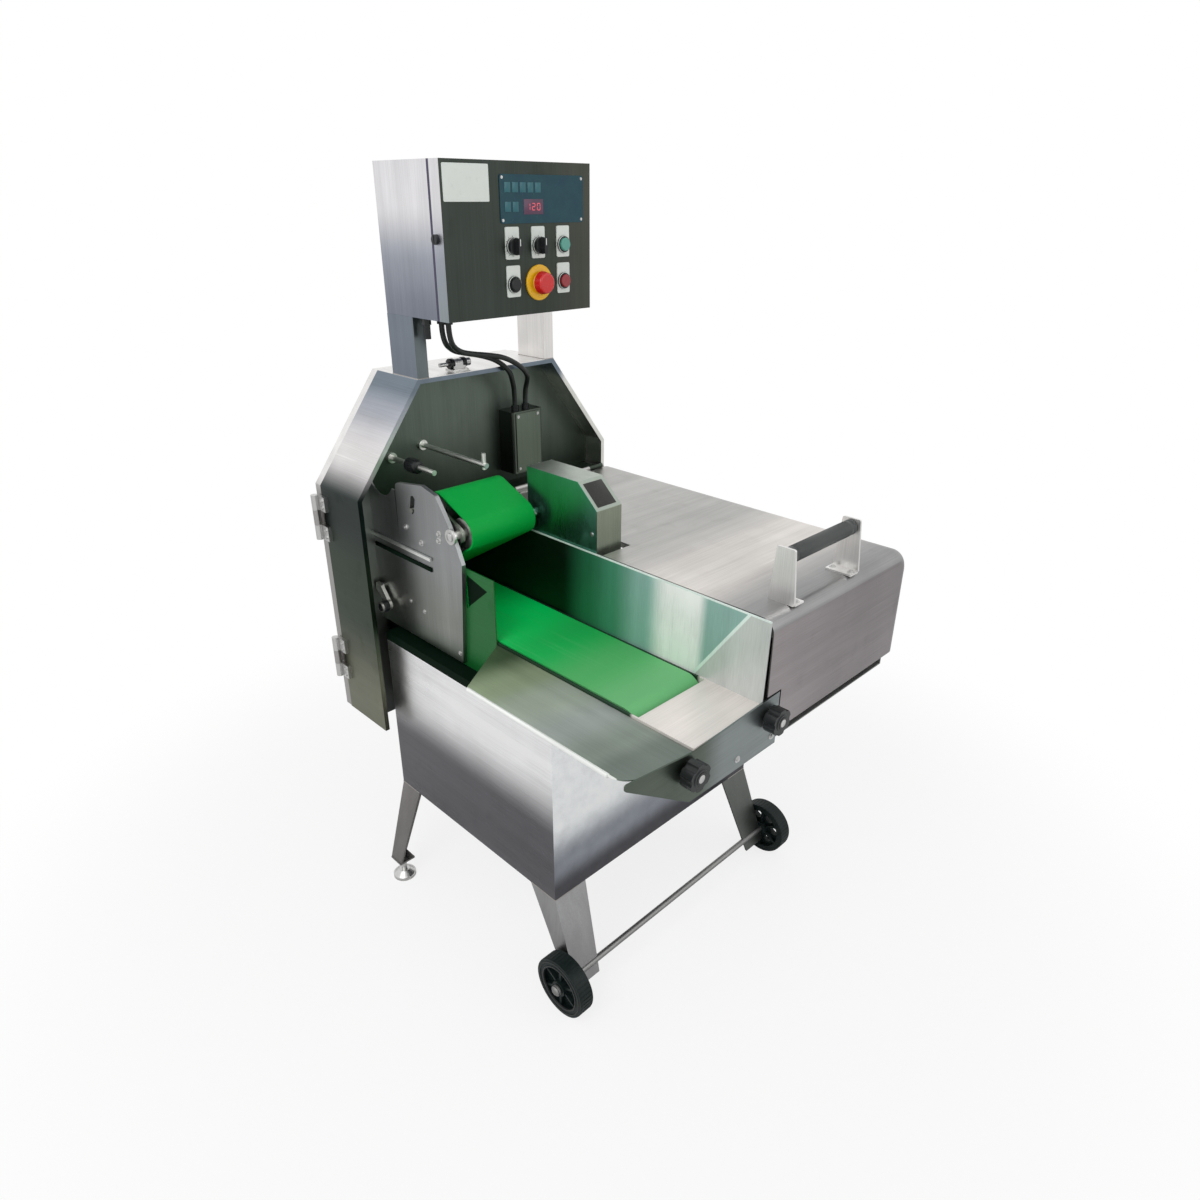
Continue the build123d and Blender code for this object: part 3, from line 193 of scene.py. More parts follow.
class Paint(Tree):
    """The node tree of a material or of the world."""

    def place(self) -> Wire:
        """The point on the piece, in metres."""
        return self.node("ShaderNodeTexCoord", out="Object")

    def along(self, axis: Axis) -> Wire:
        """One coordinate of the point on the piece."""
        return self.node("ShaderNodeSeparateXYZ", inputs={0: self.place()}, out=axis.value)

    def noise(self, scale: Union[float, Point], detail: float = 2.0, seed: float = 0.0) -> Wire:
        """A noise between 0 and 1.

        Args:
            scale: features per metre, one number or one for each axis.
            detail: how many finer layers it has.
            seed: a shift, so that two noises differ.

        Returns:
            The noise.
        """
        stretch = (scale,) * 3 if isinstance(scale, float) else scale
        moved = self.node("ShaderNodeVectorMath", {"operation": "MULTIPLY_ADD"}, {
            0: self.place(), 1: stretch, 2: (seed, seed * 1.7, seed * 0.6)})
        return self.node("ShaderNodeTexNoise", inputs={
            "Vector": moved, "Scale": 1.0, "Detail": detail})

    @staticmethod
    def four(colour: object) -> object:
        """A colour with its alpha, or the Wire as it is."""
        return colour if isinstance(colour, Wire) else (*colour, 1.0)

    def blend(self, mask: Value, first: object, second: object) -> Wire:
        """A colour that goes from the first to the second as the mask goes from 0 to 1."""
        return self.node("ShaderNodeMix", {"data_type": "RGBA"}, {
            0: mask, 6: self.four(first), 7: self.four(second)}, 2)

    def shaded(self, tone: Colour, changes: Sequence[Shade]) -> object:
        """A tone, changed by one shade after another.

        Args:
            tone: the tone to begin with.
            changes: the shades, each laid over those before it.

        Returns:
            The colour: a Wire, or the tone itself where nothing changes it.
        """
        colour: object = tone
        for shade in changes:
            place = self.along(shade.axis)
            if shade.lean:
                place = place - self.along(Z) * shade.lean
            mask = place.span(shade.origin + shade.start * MM, shade.origin + shade.end * MM)
            colour = self.blend(mask, colour, self.shaded(shade.tone, shade.own))
        return colour

    def bump(self, height: Value, strength: float, depth: float) -> Wire:
        """The normal of a height between 0 and 1 that stands for that depth in metres."""
        return self.node("ShaderNodeBump", inputs={
            "Strength": strength, "Distance": depth, "Height": height})

    def surface(self, inputs: Inputs) -> None:
        """Adds the main shader, with these inputs, and the output."""
        shader = self.node("ShaderNodeBsdfPrincipled", inputs=inputs)
        self.node("ShaderNodeOutputMaterial", inputs={"Surface": shader})


class Finish:
    """A finish of the machine, made into one material the first time it is asked for."""

    name: str
    slot: str

    @cache
    def material(self) -> bpy.types.Material:
        """The finish's material.

        Returns:
            The same material each time.
        """
        made = bpy.data.materials.new(self.name)
        made.use_nodes = True
        self.mix(Paint(made.node_tree))
        return made

    def mix(self, paint: Paint) -> None:
        """Fills in the material's empty tree."""
        raise NotImplementedError

    def hang(self, piece: bpy.types.Object, body: str) -> None:
        """Hangs a new piece on a body and tells what it is made of.

        Args:
            piece: the piece.
            body: the body that it rides on.
        """
        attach(piece, body)
        log.info("%s added to %s in %s", piece.name, body, self.name)

    def dress(self, *nodes: str) -> None:
        """Puts the finish on CAD nodes.

        Args:
            nodes: the nodes' names.
        """
        for node in nodes:
            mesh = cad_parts[node].data
            mesh.materials.clear()
            mesh.materials.append(self.material())
            log.info("%s dressed in %s", node, self.name)


@dataclass(frozen=True)
class BrushedSteel(Finish):
    """Brushed stainless sheet: grain lines, smudges, fine scratches, and slow changes of tone that paint
    reflections, highlights and shade.
    """

    name: str
    tone: Colour
    shades: tuple[Shade, ...] = ()
    grain: Axis = X
    roughness: float = 0.34
    metal: float = 1.0
    slot: str = "stainless"

    def _stretch(self, across: float, along: float) -> Point:
        """Noise scales for that many lines per metre across the grain and features along it."""
        return tuple(along if axis is self.grain else across for axis in Axis)

    def mix(self, paint: Paint) -> None:
        """Mixes the steel's tones with their painted light and shade, gloss and grain.

        Args:
            paint: the empty tree to fill.
        """
        lines = paint.noise(self._stretch(900.0, 9.0), 3.0)
        bands = paint.noise(self._stretch(45.0, 1.2), 2.0, 3.1)
        smudge = paint.noise(6.0, 3.0, 5.3)
        prints = paint.noise(21.0, 4.0, 9.7).span(0.56, 0.74)
        scratch = paint.noise(self._stretch(260.0, 3.5), 1.0, 2.2).span(0.70, 0.80)
        colour = paint.shaded(self.tone, self.shades)
        level = (
            (smudge - 0.5) * 0.45 + (bands - 0.5) * 0.30 - (lines - 0.5) * 0.35 + scratch * 0.12 + 1.0)
        paint.surface({
            "Base Color": paint.node("ShaderNodeHueSaturation", inputs={
                "Value": level, "Color": paint.four(colour)}),
            "Metallic": self.metal,
            "Roughness": lines * 0.14 + smudge * 0.10 + prints * 0.10 + (self.roughness - 0.12),
            "Normal": paint.bump(lines, 0.10, 0.0004),
        })


@dataclass(frozen=True)
class Moulded(Finish):
    """Moulded plastic or rubber: a fine grain, faint dust and handling wear."""

    name: str
    colour: Colour
    worn: Colour
    roughness: float
    grain: float = 1400.0
    gloss_coat: float = 0.0
    shine: float = 0.5
    slot: str = "knob_black"

    def mix(self, paint: Paint) -> None:
        """Mixes the moulding's wear, grain and coat.

        Args:
            paint: the empty tree to fill.
        """
        grain = paint.noise(self.grain, 2.0)
        cloud = paint.noise(38.0, 3.0, 4.4)
        rubbed = paint.noise(120.0, 4.0, 1.3).span(0.55, 0.75)
        paint.surface({
            "Base Color": paint.blend(cloud * 0.35 + rubbed * 0.30, self.colour, self.worn),
            "Roughness": grain * 0.10 + rubbed * 0.12 + (self.roughness - 0.10),
            "Specular IOR Level": self.shine,
            "Coat Weight": self.gloss_coat,
            "Coat Roughness": 0.12,
            "Normal": paint.bump(grain, 0.18, 0.0003),
        })


@dataclass(frozen=True)
class BeltSkin(Finish):
    """Smooth green conveyor belting: a faint weave, lighter scuffs along its travel, and painted light where
    it has shades.
    """

    name: str
    colour: Colour
    scuffed: Colour
    shades: tuple[Shade, ...] = ()
    slot: str = "belt_green"

    def mix(self, paint: Paint) -> None:
        """Mixes the belting's weave and scuffs.

        Args:
            paint: the empty tree to fill.
        """
        warp, weft = (paint.node("ShaderNodeTexWave", {"bands_direction": way}, {
            "Vector": paint.place(), "Scale": 260.0}) for way in "XY")
        weave = warp * weft
        scuff = paint.noise((5.0, 160.0, 160.0), 3.0).span(0.52, 0.74)
        cloud = paint.noise(9.0, 3.0, 2.0)
        mask = (scuff * 0.20 + (cloud - 0.5) * 0.30).larger(0.0)
        paint.surface({
            "Base Color": paint.blend(mask, paint.shaded(self.colour, self.shades), self.scuffed),
            "Roughness": weave * 0.08 + scuff * 0.10 + 0.42,
            "Specular IOR Level": 0.16,
            "Normal": paint.bump(weave, 0.12, 0.0002),
        })


@dataclass(frozen=True)
class PaintedCasting(Finish):
    """A painted casting: orange-peel skin, chipped dull patches and oily shine."""

    name: str
    colour: Colour
    chipped: Colour
    metal: float = 0.0
    slot: str = "cast_housing"

    def mix(self, paint: Paint) -> None:
        """Mixes the casting's paint, chips and oil.

        Args:
            paint: the empty tree to fill.
        """
        peel = paint.noise(420.0, 3.0)
        chips = paint.noise(55.0, 5.0, 7.0).span(0.66, 0.72)
        oily = paint.noise(14.0, 3.0, 2.7)
        paint.surface({
            "Base Color": paint.blend(chips * 0.8, self.colour, self.chipped),
            "Metallic": chips * (1.0 - self.metal) * 0.6 + self.metal,
            "Roughness": oily * 0.25 + peel * 0.10 + 0.28,
            "Normal": paint.bump(peel, 0.25, 0.0006),
        })


@dataclass(frozen=True)
class GroundBlade(Finish):
    """Ground knife steel: fine rings from the grinder round the cutter's axis."""

    name: str
    centre: Point
    slot: str = "knife_steel"

    def mix(self, paint: Paint) -> None:
        """Mixes the blade's rings and stains.

        Args:
            paint: the empty tree to fill.
        """
        from_axis = paint.node("ShaderNodeVectorMath", {"operation": "DISTANCE"}, {
            0: paint.place(), 1: self.centre}, "Value")
        rings = paint.node("ShaderNodeTexNoise", inputs={
            "Vector": paint.node("ShaderNodeCombineXYZ", inputs={0: from_axis * 700.0}),
            "Scale": 1.0})
        stain = paint.noise(30.0, 3.0).span(0.5, 0.7)
        paint.surface({
            "Base Color": paint.blend(stain * 0.4, (0.74, 0.75, 0.77), (0.52, 0.51, 0.47)),
            "Metallic": 1.0,
            "Roughness": rings * 0.14 + stain * 0.10 + 0.12,
            "Normal": paint.bump(rings, 0.10, 0.0003),
        })


@dataclass(frozen=True)
class DisplayFilm(Finish):
    """Glossy dark film, slightly blotched where fingers touch it."""

    name: str
    colour: Colour
    edge: Colour
    slot: str = "display_blue"

    def mix(self, paint: Paint) -> None:
        """Mixes the film's blotches and finger prints.

        Args:
            paint: the empty tree to fill.
        """
        blotch = paint.noise(45.0, 3.0)
        prints = paint.noise(130.0, 4.0, 3.3).span(0.55, 0.75)
        paint.surface({
            "Base Color": paint.blend(blotch, self.colour, self.edge),
            "Roughness": prints * 0.20 + 0.16,
            "Specular IOR Level": 0.2,
            "Coat Weight": 0.12,
            "Coat Roughness": 0.06,
            "Normal": paint.bump(blotch, 0.05, 0.0002),
        })


@dataclass(frozen=True)
class Lit(Finish):
    """Lit segments behind the film."""

    name: str
    colour: Colour
    strength: float
    slot: str = "display_blue"

    def mix(self, paint: Paint) -> None:
        """Mixes the segments' glow.

        Args:
            paint: the empty tree to fill.
        """
        flicker = paint.noise(900.0, 1.0)
        glow = paint.blend(flicker * 0.3, self.colour, tuple(0.6 * part for part in self.colour))
        paint.surface({
            "Base Color": glow, "Emission Color": glow, "Emission Strength": self.strength,
            "Roughness": 0.3})


# PALE is a light steel tone that also serves as a painted highlight; EDGE_HIGHLIGHT is a painted highlight
# along bright edges.
PALE = (0.80, 0.79, 0.775)
EDGE_HIGHLIGHT = (0.86, 0.88, 0.85)

# Black rubber; the same black also serves as painted shadow in the strips under the side plate's ledge and
# behind the short wall's cut-out.
BLACK_RUBBER_AND_SHADOW = Moulded(
    "black_rubber", (0.002, 0.008, 0.004), (0.006, 0.020, 0.011), 0.70, 700.0, 0.0, 0.04, "gasket_rubber")
TYRE = Moulded(
    "tyre_rubber", (0.003, 0.009, 0.008), (0.022, 0.033, 0.032), 0.50, 500.0, 0.0, 0.22, "tyre_black")
BLACK = Moulded("black_plastic", (0.008, 0.010, 0.011), (0.035, 0.036, 0.036), 0.34, 1400.0, 0.0, 0.35)
GRIP = Moulded("grip_plastic", (0.035, 0.042, 0.042), (0.10, 0.105, 0.10), 0.40, 1400.0, 0.0, 0.40)
GREY = Moulded("grey_plastic", (0.20, 0.21, 0.22), (0.30, 0.31, 0.32), 0.45, slot="grey_plastic")
WHITE = Moulded(
    "legend_white", (0.74, 0.78, 0.74), (0.60, 0.63, 0.60), 0.35, 900.0, 0.2, slot="plate_white")
RED = Moulded("signal_red", (0.66, 0.010, 0.010), (0.46, 0.02, 0.015), 0.28, 900.0, 0.3, slot="red_button")
DARK_RED = Moulded("stop_red", (0.33, 0.02, 0.03), (0.20, 0.02, 0.02), 0.30, 900.0, 0.3, slot="red_button")
GREEN = Moulded(
    "start_green", (0.10, 0.36, 0.29), (0.07, 0.26, 0.20), 0.28, 900.0, 0.3, slot="green_button")
YELLOW = Moulded(
    "signal_yellow", (0.90, 0.50, 0.005), (0.70, 0.40, 0.01), 0.30, 900.0, 0.2, slot="plate_white")
CABLE = Moulded(
    "cable_sheath", (0.006, 0.010, 0.008), (0.025, 0.030, 0.026), 0.40, 1800.0, 0.0, 0.35, "cable_black")
SCREW = BrushedSteel("screw_steel", (0.58, 0.58, 0.57), (), Z, 0.30)
DULL = BrushedSteel("dull_steel", (0.26, 0.26, 0.255), (), Y, 0.45)
WELD = BrushedSteel("weld_seam", (0.40, 0.38, 0.36), (), X, 0.45)
MOTOR_BLUE = PaintedCasting("motor_paint", (0.10, 0.14, 0.19), (0.40, 0.40, 0.38), slot="motor_paint")
CAST = PaintedCasting("cast_alloy", (0.46, 0.46, 0.45), (0.62, 0.62, 0.60), 0.85)


def add_object(name: str, data: bpy.types.ID) -> bpy.types.Object:
    """Puts a new object at the scene's origin.

    Args:
        name: its name.
        data: its mesh, curve, lamp or camera.

    Returns:
        The object.
    """
    made = bpy.data.objects.new(name, data)
    bpy.context.scene.collection.objects.link(made)
    return made


class Form:
    """A mesh being made in code, with its place in the machine in the mesh itself."""

    def __init__(self) -> None:
        """Starts an empty mesh."""
        self.mesh = bmesh.new()

    def turned(
        self, profile: Sequence[Pair], centre: Sequence[float], axis: Axis, sides: int = 40,
    ) -> "Form":
        """Adds a turned shape.

        Args:
            profile: (radius, distance along the axis) in millimetres; a radius of 0 closes an end.
            centre: where the distance is 0.
            axis: the axis it is turned about.
            sides: how many sides it has.

        Returns:
            The form itself.
        """
        rings = []
        for radius, height in profile:
            foot = Vector(centre) + axis.vector * (height * MM)
            rings.append([
                self.mesh.verts.new(foot + axis.spoke(2 * math.pi * step / sides) * (radius * MM))
                for step in range(sides if radius > 0 else 1)])
        for low, high in zip(rings, rings[1:]):
            for step in range(sides):
                corners = [low[step % len(low)], low[(step + 1) % len(low)],
                           high[(step + 1) % len(high)], high[step % len(high)]]
                face = list(dict.fromkeys(corners))
                if len(face) > 2:
                    self.mesh.faces.new(face)
        return self

    def slab(self, place: Matrix, bevel: float, roundness: float) -> "Form":
        """Adds a cube of unit size, moved and stretched, with its edges broken.

        Args:
            place: what is done to the cube.
            bevel: how far its edges are broken, in millimetres.
            roundness: the bevel's profile.

        Returns:
            The form itself.
        """
        made = bmesh.ops.create_cube(self.mesh, size=1.0, matrix=place)
        edges = list({edge for vert in made["verts"] for edge in vert.link_edges})
        bmesh.ops.bevel(
            self.mesh, geom=edges, offset=bevel * MM, segments=2, profile=roundness, affect="EDGES")
        return self

    def block(self, low: Point, high: Point, bevel: float) -> "Form":
        """Adds a block from its lowest to its highest corner, with its edges broken."""
        size, middle = Vector(high) - Vector(low), (Vector(high) + Vector(low)) / 2
        return self.slab(Matrix.Translation(middle) @ Matrix.Diagonal((*size, 1.0)), bevel, 0.6)

    def hang(self, name: str, finish: Finish, body: str) -> None:
        """Closes the mesh as a piece and hangs it on a body.

        Args:
            name: the piece's name.
            finish: what it is dressed in.
            body: the body that it rides on.
        """
        bmesh.ops.remove_doubles(self.mesh, verts=self.mesh.verts, dist=1e-6)
        bmesh.ops.recalc_face_normals(self.mesh, faces=self.mesh.faces)
        for edge in self.mesh.edges:
            edge.smooth = len(edge.link_faces) == 2 and edge.calc_face_angle(0.0) < SMOOTH_LIMIT
        for face in self.mesh.faces:
            face.smooth = True
        mesh = bpy.data.meshes.new(name)
        self.mesh.to_mesh(mesh)
        self.mesh.free()
        mesh.materials.append(finish.material())
        finish.hang(add_object(name, mesh), body)


class Growth(Tree):
    """A Geometry Nodes tree with named inputs, run once on a mesh and kept as a plain mesh."""

    def __init__(self, name: str, sizes: Mapping[str, float]) -> None:
        """Starts a tree.

        Args:
            name: the name of the tree and of its piece.
            sizes: the named inputs and their values in millimetres.
        """
        super().__init__(bpy.data.node_groups.new(name, "GeometryNodeTree"))
        self.name = name
        face = self.graph.interface
        face.new_socket("Geometry", in_out="INPUT", socket_type="NodeSocketGeometry")
        self.sizes = {
            face.new_socket(label, in_out="INPUT", socket_type="NodeSocketFloat").identifier: size * MM
            for label, size in sizes.items()}
        face.new_socket("Geometry", in_out="OUTPUT", socket_type="NodeSocketGeometry")
        self.source = self.graph.nodes.new("NodeGroupInput")

    def given(self, label: str) -> Wire:
        """One of the tree's own inputs."""
        return Wire(self, self.source.outputs[label])

    def triple(self, *parts: Value) -> Wire:
        """A vector of three sizes."""
        return self.node("ShaderNodeCombineXYZ", inputs=dict(enumerate(parts)))

    def facing(self) -> Wire:
        """The direction that each point faces."""
        return self.node("GeometryNodeInputNamedAttribute", {"data_type": "FLOAT_VECTOR"}, {
            "Name": "facing"})

    def turned(self, axis: Axis, inputs: Inputs, pivot: str = "AUTO") -> Wire:
        """The rotation that turns an axis to the Vector of the inputs, from their Rotation."""
        settings = {"axis": axis.name, "pivot_axis": pivot}
        return self.node("FunctionNodeAlignRotationToVector", settings, inputs, "Rotation")

    def bake(self, mesh: bpy.types.Mesh, spread: Inputs, finish: Finish, body: str) -> None:
        """Sets instances on a mesh's points and keeps them as one plain mesh on a body.

        Args:
            mesh: the points or edges that the tree works on.
            spread: the inputs of the tree's last node, which sets the instances.
            finish: what the piece is dressed in.
            body: the body that it rides on.
        """
        placed = self.node("GeometryNodeInstanceOnPoints", inputs={
            "Points": self.given("Geometry"), **spread})
        solid = self.node("GeometryNodeRealizeInstances", inputs={0: placed})
        dressed = self.node("GeometryNodeSetMaterial", inputs={
            "Geometry": solid, "Material": finish.material()})
        self.node("NodeGroupOutput", inputs={0: dressed})
        seed = add_object(self.name + "_seed", mesh)
        modifier = seed.modifiers.new(self.name, "NODES")
        modifier.node_group = self.graph
        for identifier, size in self.sizes.items():
            modifier[identifier] = size
        bpy.context.view_layer.update()
        ready = seed.evaluated_get(bpy.context.evaluated_depsgraph_get())
        plain = bpy.data.meshes.new_from_object(ready)
        seed.modifiers.clear()
        bpy.data.objects.remove(seed)
        plain.name = self.name
        plain.materials.clear()
        plain.materials.append(finish.material())
        finish.hang(add_object(self.name, plain), body)


def point_cloud(name: str, spots: Sequence[Spot]) -> bpy.types.Mesh:
    """A mesh of lone points, each with the direction that it faces.

    Args:
        name: the mesh's name.
        spots: (place, direction) of each point.

    Returns:
        The mesh, with the directions in its attribute "facing".
    """
    mesh = bpy.data.meshes.new(name)
    mesh.from_pydata([place for place, _ in spots], [], [])
    facing = mesh.attributes.new("facing", "FLOAT_VECTOR", "POINT")
    for item, (_, direction) in zip(facing.data, spots):
        item.vector = direction
    return mesh


@dataclass
class Fasteners:
    """Screw heads of one size on one body."""

    name: str
    body: str
    spots: Sequence[Spot]
    head: Head
    radius: float
    height: float

    def build(self) -> None:
        """Sets a head with its washer and its drive on every spot."""
        tree = Growth(self.name, {"Radius": self.radius, "Height": self.height})
        radius, height = tree.given("Radius"), tree.given("Height")

        def disc(sides: int, wide: float, thick: float) -> Wire:
            """A flat round of that share of the head's radius and height."""
            return tree.node("GeometryNodeMeshCylinder", {"fill_type": "NGON"}, {
                "Vertices": sides, "Radius": radius * wide, "Depth": height * thick}, "Mesh")

        crown = tree.node("GeometryNodeMeshCone", {"fill_type": "NGON"}, {
            "Vertices": self.head.value, "Radius Top": radius * 0.88, "Radius Bottom": radius,
            "Depth": height}, "Mesh")
        raised = tree.node("GeometryNodeTransform", inputs={
            "Geometry": disc(6, 0.42, 0.3), "Translation": tree.triple(0.0, 0.0, height)})
        shape = tree.node("GeometryNodeJoinGeometry", inputs={0: [disc(20, 1.45, 0.35), crown, raised]})
        spread = {"Instance": shape, "Rotation": tree.turned(Z, {"Vector": tree.facing()})}
        tree.bake(point_cloud(self.name, self.spots), spread, SCREW, self.body)


@dataclass
class RibRing:
    """Ribs in a ring round an axis, such as a tread or a grip's flutes.

    A rib's size is (outwards, round, along the axis).
    """

    name: str
    body: str
    centre: Sequence[float]
    axis: Axis
    count: int
    radius: float
    rib: Point
    finish: Finish

    def build(self) -> None:
        """Sets a rib at each step round the ring."""
        labels = ("Outwards", "Round", "Along")
        tree = Growth(self.name, dict(zip(labels, self.rib)))
        bar = tree.node("GeometryNodeMeshCube", inputs={
            "Size": tree.triple(*(tree.given(label) for label in labels))}, out="Mesh")
        upright = tree.turned(Z, {"Vector": tuple(self.axis.vector)})
        turned = tree.turned(X, {"Vector": tree.facing(), "Rotation": upright}, "Z")
        spots = []
        for step in range(self.count):
            away = self.axis.spoke(2 * math.pi * step / self.count)
            spots.append((tuple(Vector(self.centre) + away * (self.radius * MM)), tuple(away)))
        tree.bake(
            point_cloud(self.name, spots), {"Instance": bar, "Rotation": turned}, self.finish, self.body)


@dataclass
class WeldSeam:
    """A row of weld ripples along straight seams on the fixed frame."""

    name: str
    seams: Sequence[Sequence[Point]]
    width: float = 2.6
    pitch: float = 1.7
    seed: int = 7

    def build(self) -> None:
        """Lays overlapping ripples along each seam."""
        tree = Growth(self.name, {"Width": self.width, "Pitch": self.pitch})
        path = tree.node("GeometryNodeMeshToCurve", inputs={0: tree.given("Geometry")})
        dots = tree.node("GeometryNodeResampleCurve", {"mode": "LENGTH"}, {
            "Curve": path, "Length": tree.given("Pitch")})
        ripple = tree.node("GeometryNodeMeshUVSphere", inputs={
            "Segments": 6, "Rings": 4, "Radius": tree.given("Width") * 0.5}, out="Mesh")
        size = tree.node("FunctionNodeRandomValue", {"data_type": "FLOAT"}, {
            2: 0.8, 3: 1.1, "Seed": self.seed}, 1)
        mesh = bpy.data.meshes.new(self.name)
        edges, start = [], 0
        for seam in self.seams:
            edges += [(start + step, start + step + 1) for step in range(len(seam) - 1)]
            start += len(seam)
        mesh.from_pydata([place for seam in self.seams for place in seam], edges, [])
        tree.bake(mesh, {"Points": dots, "Instance": ripple, "Scale": size}, WELD, "frame")


MID_Y = sum(corner.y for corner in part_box("cabinet")) / 2


def from_mid(offset: float) -> float:
    """The Y of a place that many millimetres from the machine's middle plane."""
    return MID_Y + offset * MM


def inside(low: float, high: float, inset: float) -> Pair:
    """The two places that many millimetres inside an end."""
    return low + inset * MM, high - inset * MM


@dataclass
class Stand:
    """Cabinet, gasket, legs, wheels and levelling feet."""

    tread_count: int = 44
    tread_radius: float = 56.9
    tread_rib: Point = (2.4, 4.0, 27.0)
    rims: tuple[Pair, ...] = ((41, 45), (50, 53))
    rim_face: float = 13.5
    cap_face: float = 22.5
    leg_foot: float = 60.0
    weld_reaches: Pair = (58.0, -65.0)
    weld_width: float = 56.0

    def build(self) -> None:
        """Dresses the stand and adds its tyres, hub caps and seams."""
        low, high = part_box("cabinet")
        leg_top = low.z / MM
        # Painted reflection: the cabinet is dark below and light near the top, and its +X face has a painted
        # gradient of its own.
        BrushedSteel("cabinet_sheet", (0.12, 0.118, 0.13), (
            Shade(Z, high.z, -210, -75, (0.95, 0.95, 0.96)),
            Shade(X, high.x, -1.0, -0.3, (0.085, 0.085, 0.095), (
                Shade(Z, low.z, 20, 70, (0.30, 0.32, 0.36)),
                Shade(Z, high.z, -265, -185, (0.93, 0.95, 0.96)),
            )),
        ), X, 0.30).dress("cabinet")
        # The gasket is black rubber; its black also stands in for the painted shade of the gap under the
        # head.
        BLACK_RUBBER_AND_SHADOW.dress("base_gasket")
        # Painted light and shade: the legs are lighter above their feet, and the far front leg is darker.
        BrushedSteel("leg_sheet", (0.30, 0.295, 0.30), (
            Shade(Z, 0, self.leg_foot, leg_top, (0.35, 0.35, 0.355)),
            Shade(Y, MID_Y, 0, 50, (0.14, 0.15, 0.14)),
        ), Z, 0.36).dress("front_legs")
        BrushedSteel("rear_leg_sheet", (0.19, 0.185, 0.18), (
            Shade(Z, 0, self.leg_foot, leg_top, (0.22, 0.21, 0.205)),
        ), Z, 0.36).dress("rear_legs")
        SCREW.dress("levelling_feet")
        DULL.dress("wheel_axle")
        TYRE.dress("wheel_near", "wheel_far")
        for side, out in zip(SIDES, (-1, 1)):
            self._wheel(side, out)
        seams = []
        for x, reach in zip((low.x, high.x), self.weld_reaches):
            for y, inward in ((low.y, self.weld_width), (high.y, -self.weld_width)):
                seams.append([(x, y + inward * MM, low.z), (x, y, low.z), (x + reach * MM, y, low.z)])
        WeldSeam("leg_welds", seams).build()

    def _wheel(self, side: str, out: int) -> None:
        """Adds a wheel's tread, rim rings and hub cap.

        Args:
            side: near or far.
            out: which way along Y is outwards.
        """
        low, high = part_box(f"wheel_{side}")
        body, centre = f"{side}_wheel", (low + high) / 2
        RibRing(f"tread_{side}", body, centre, Y, self.tread_count, self.tread_radius,
                self.tread_rib, TYRE).build()
        form = Form()
        for inner, outer in self.rims:
            form.turned([
                (inner, 0), (inner + 0.8, out * 2.6), (outer - 0.8, out * 2.6), (outer, 0)],
                centre + Y.vector * (out * self.rim_face * MM), Y, 48)
        form.hang(f"rim_rings_{side}", BLACK, body)
        cap = [(0, 5.5), (5, 4.8), (8.5, 2.6), (10.4, -1), (10.4, -3), (0, -3)]
        Form().turned(
            [(radius, out * height) for radius, height in cap],
            centre + Y.vector * (out * self.cap_face * MM), Y, 32,
        ).hang(f"hub_cap_{side}", DULL, "frame")


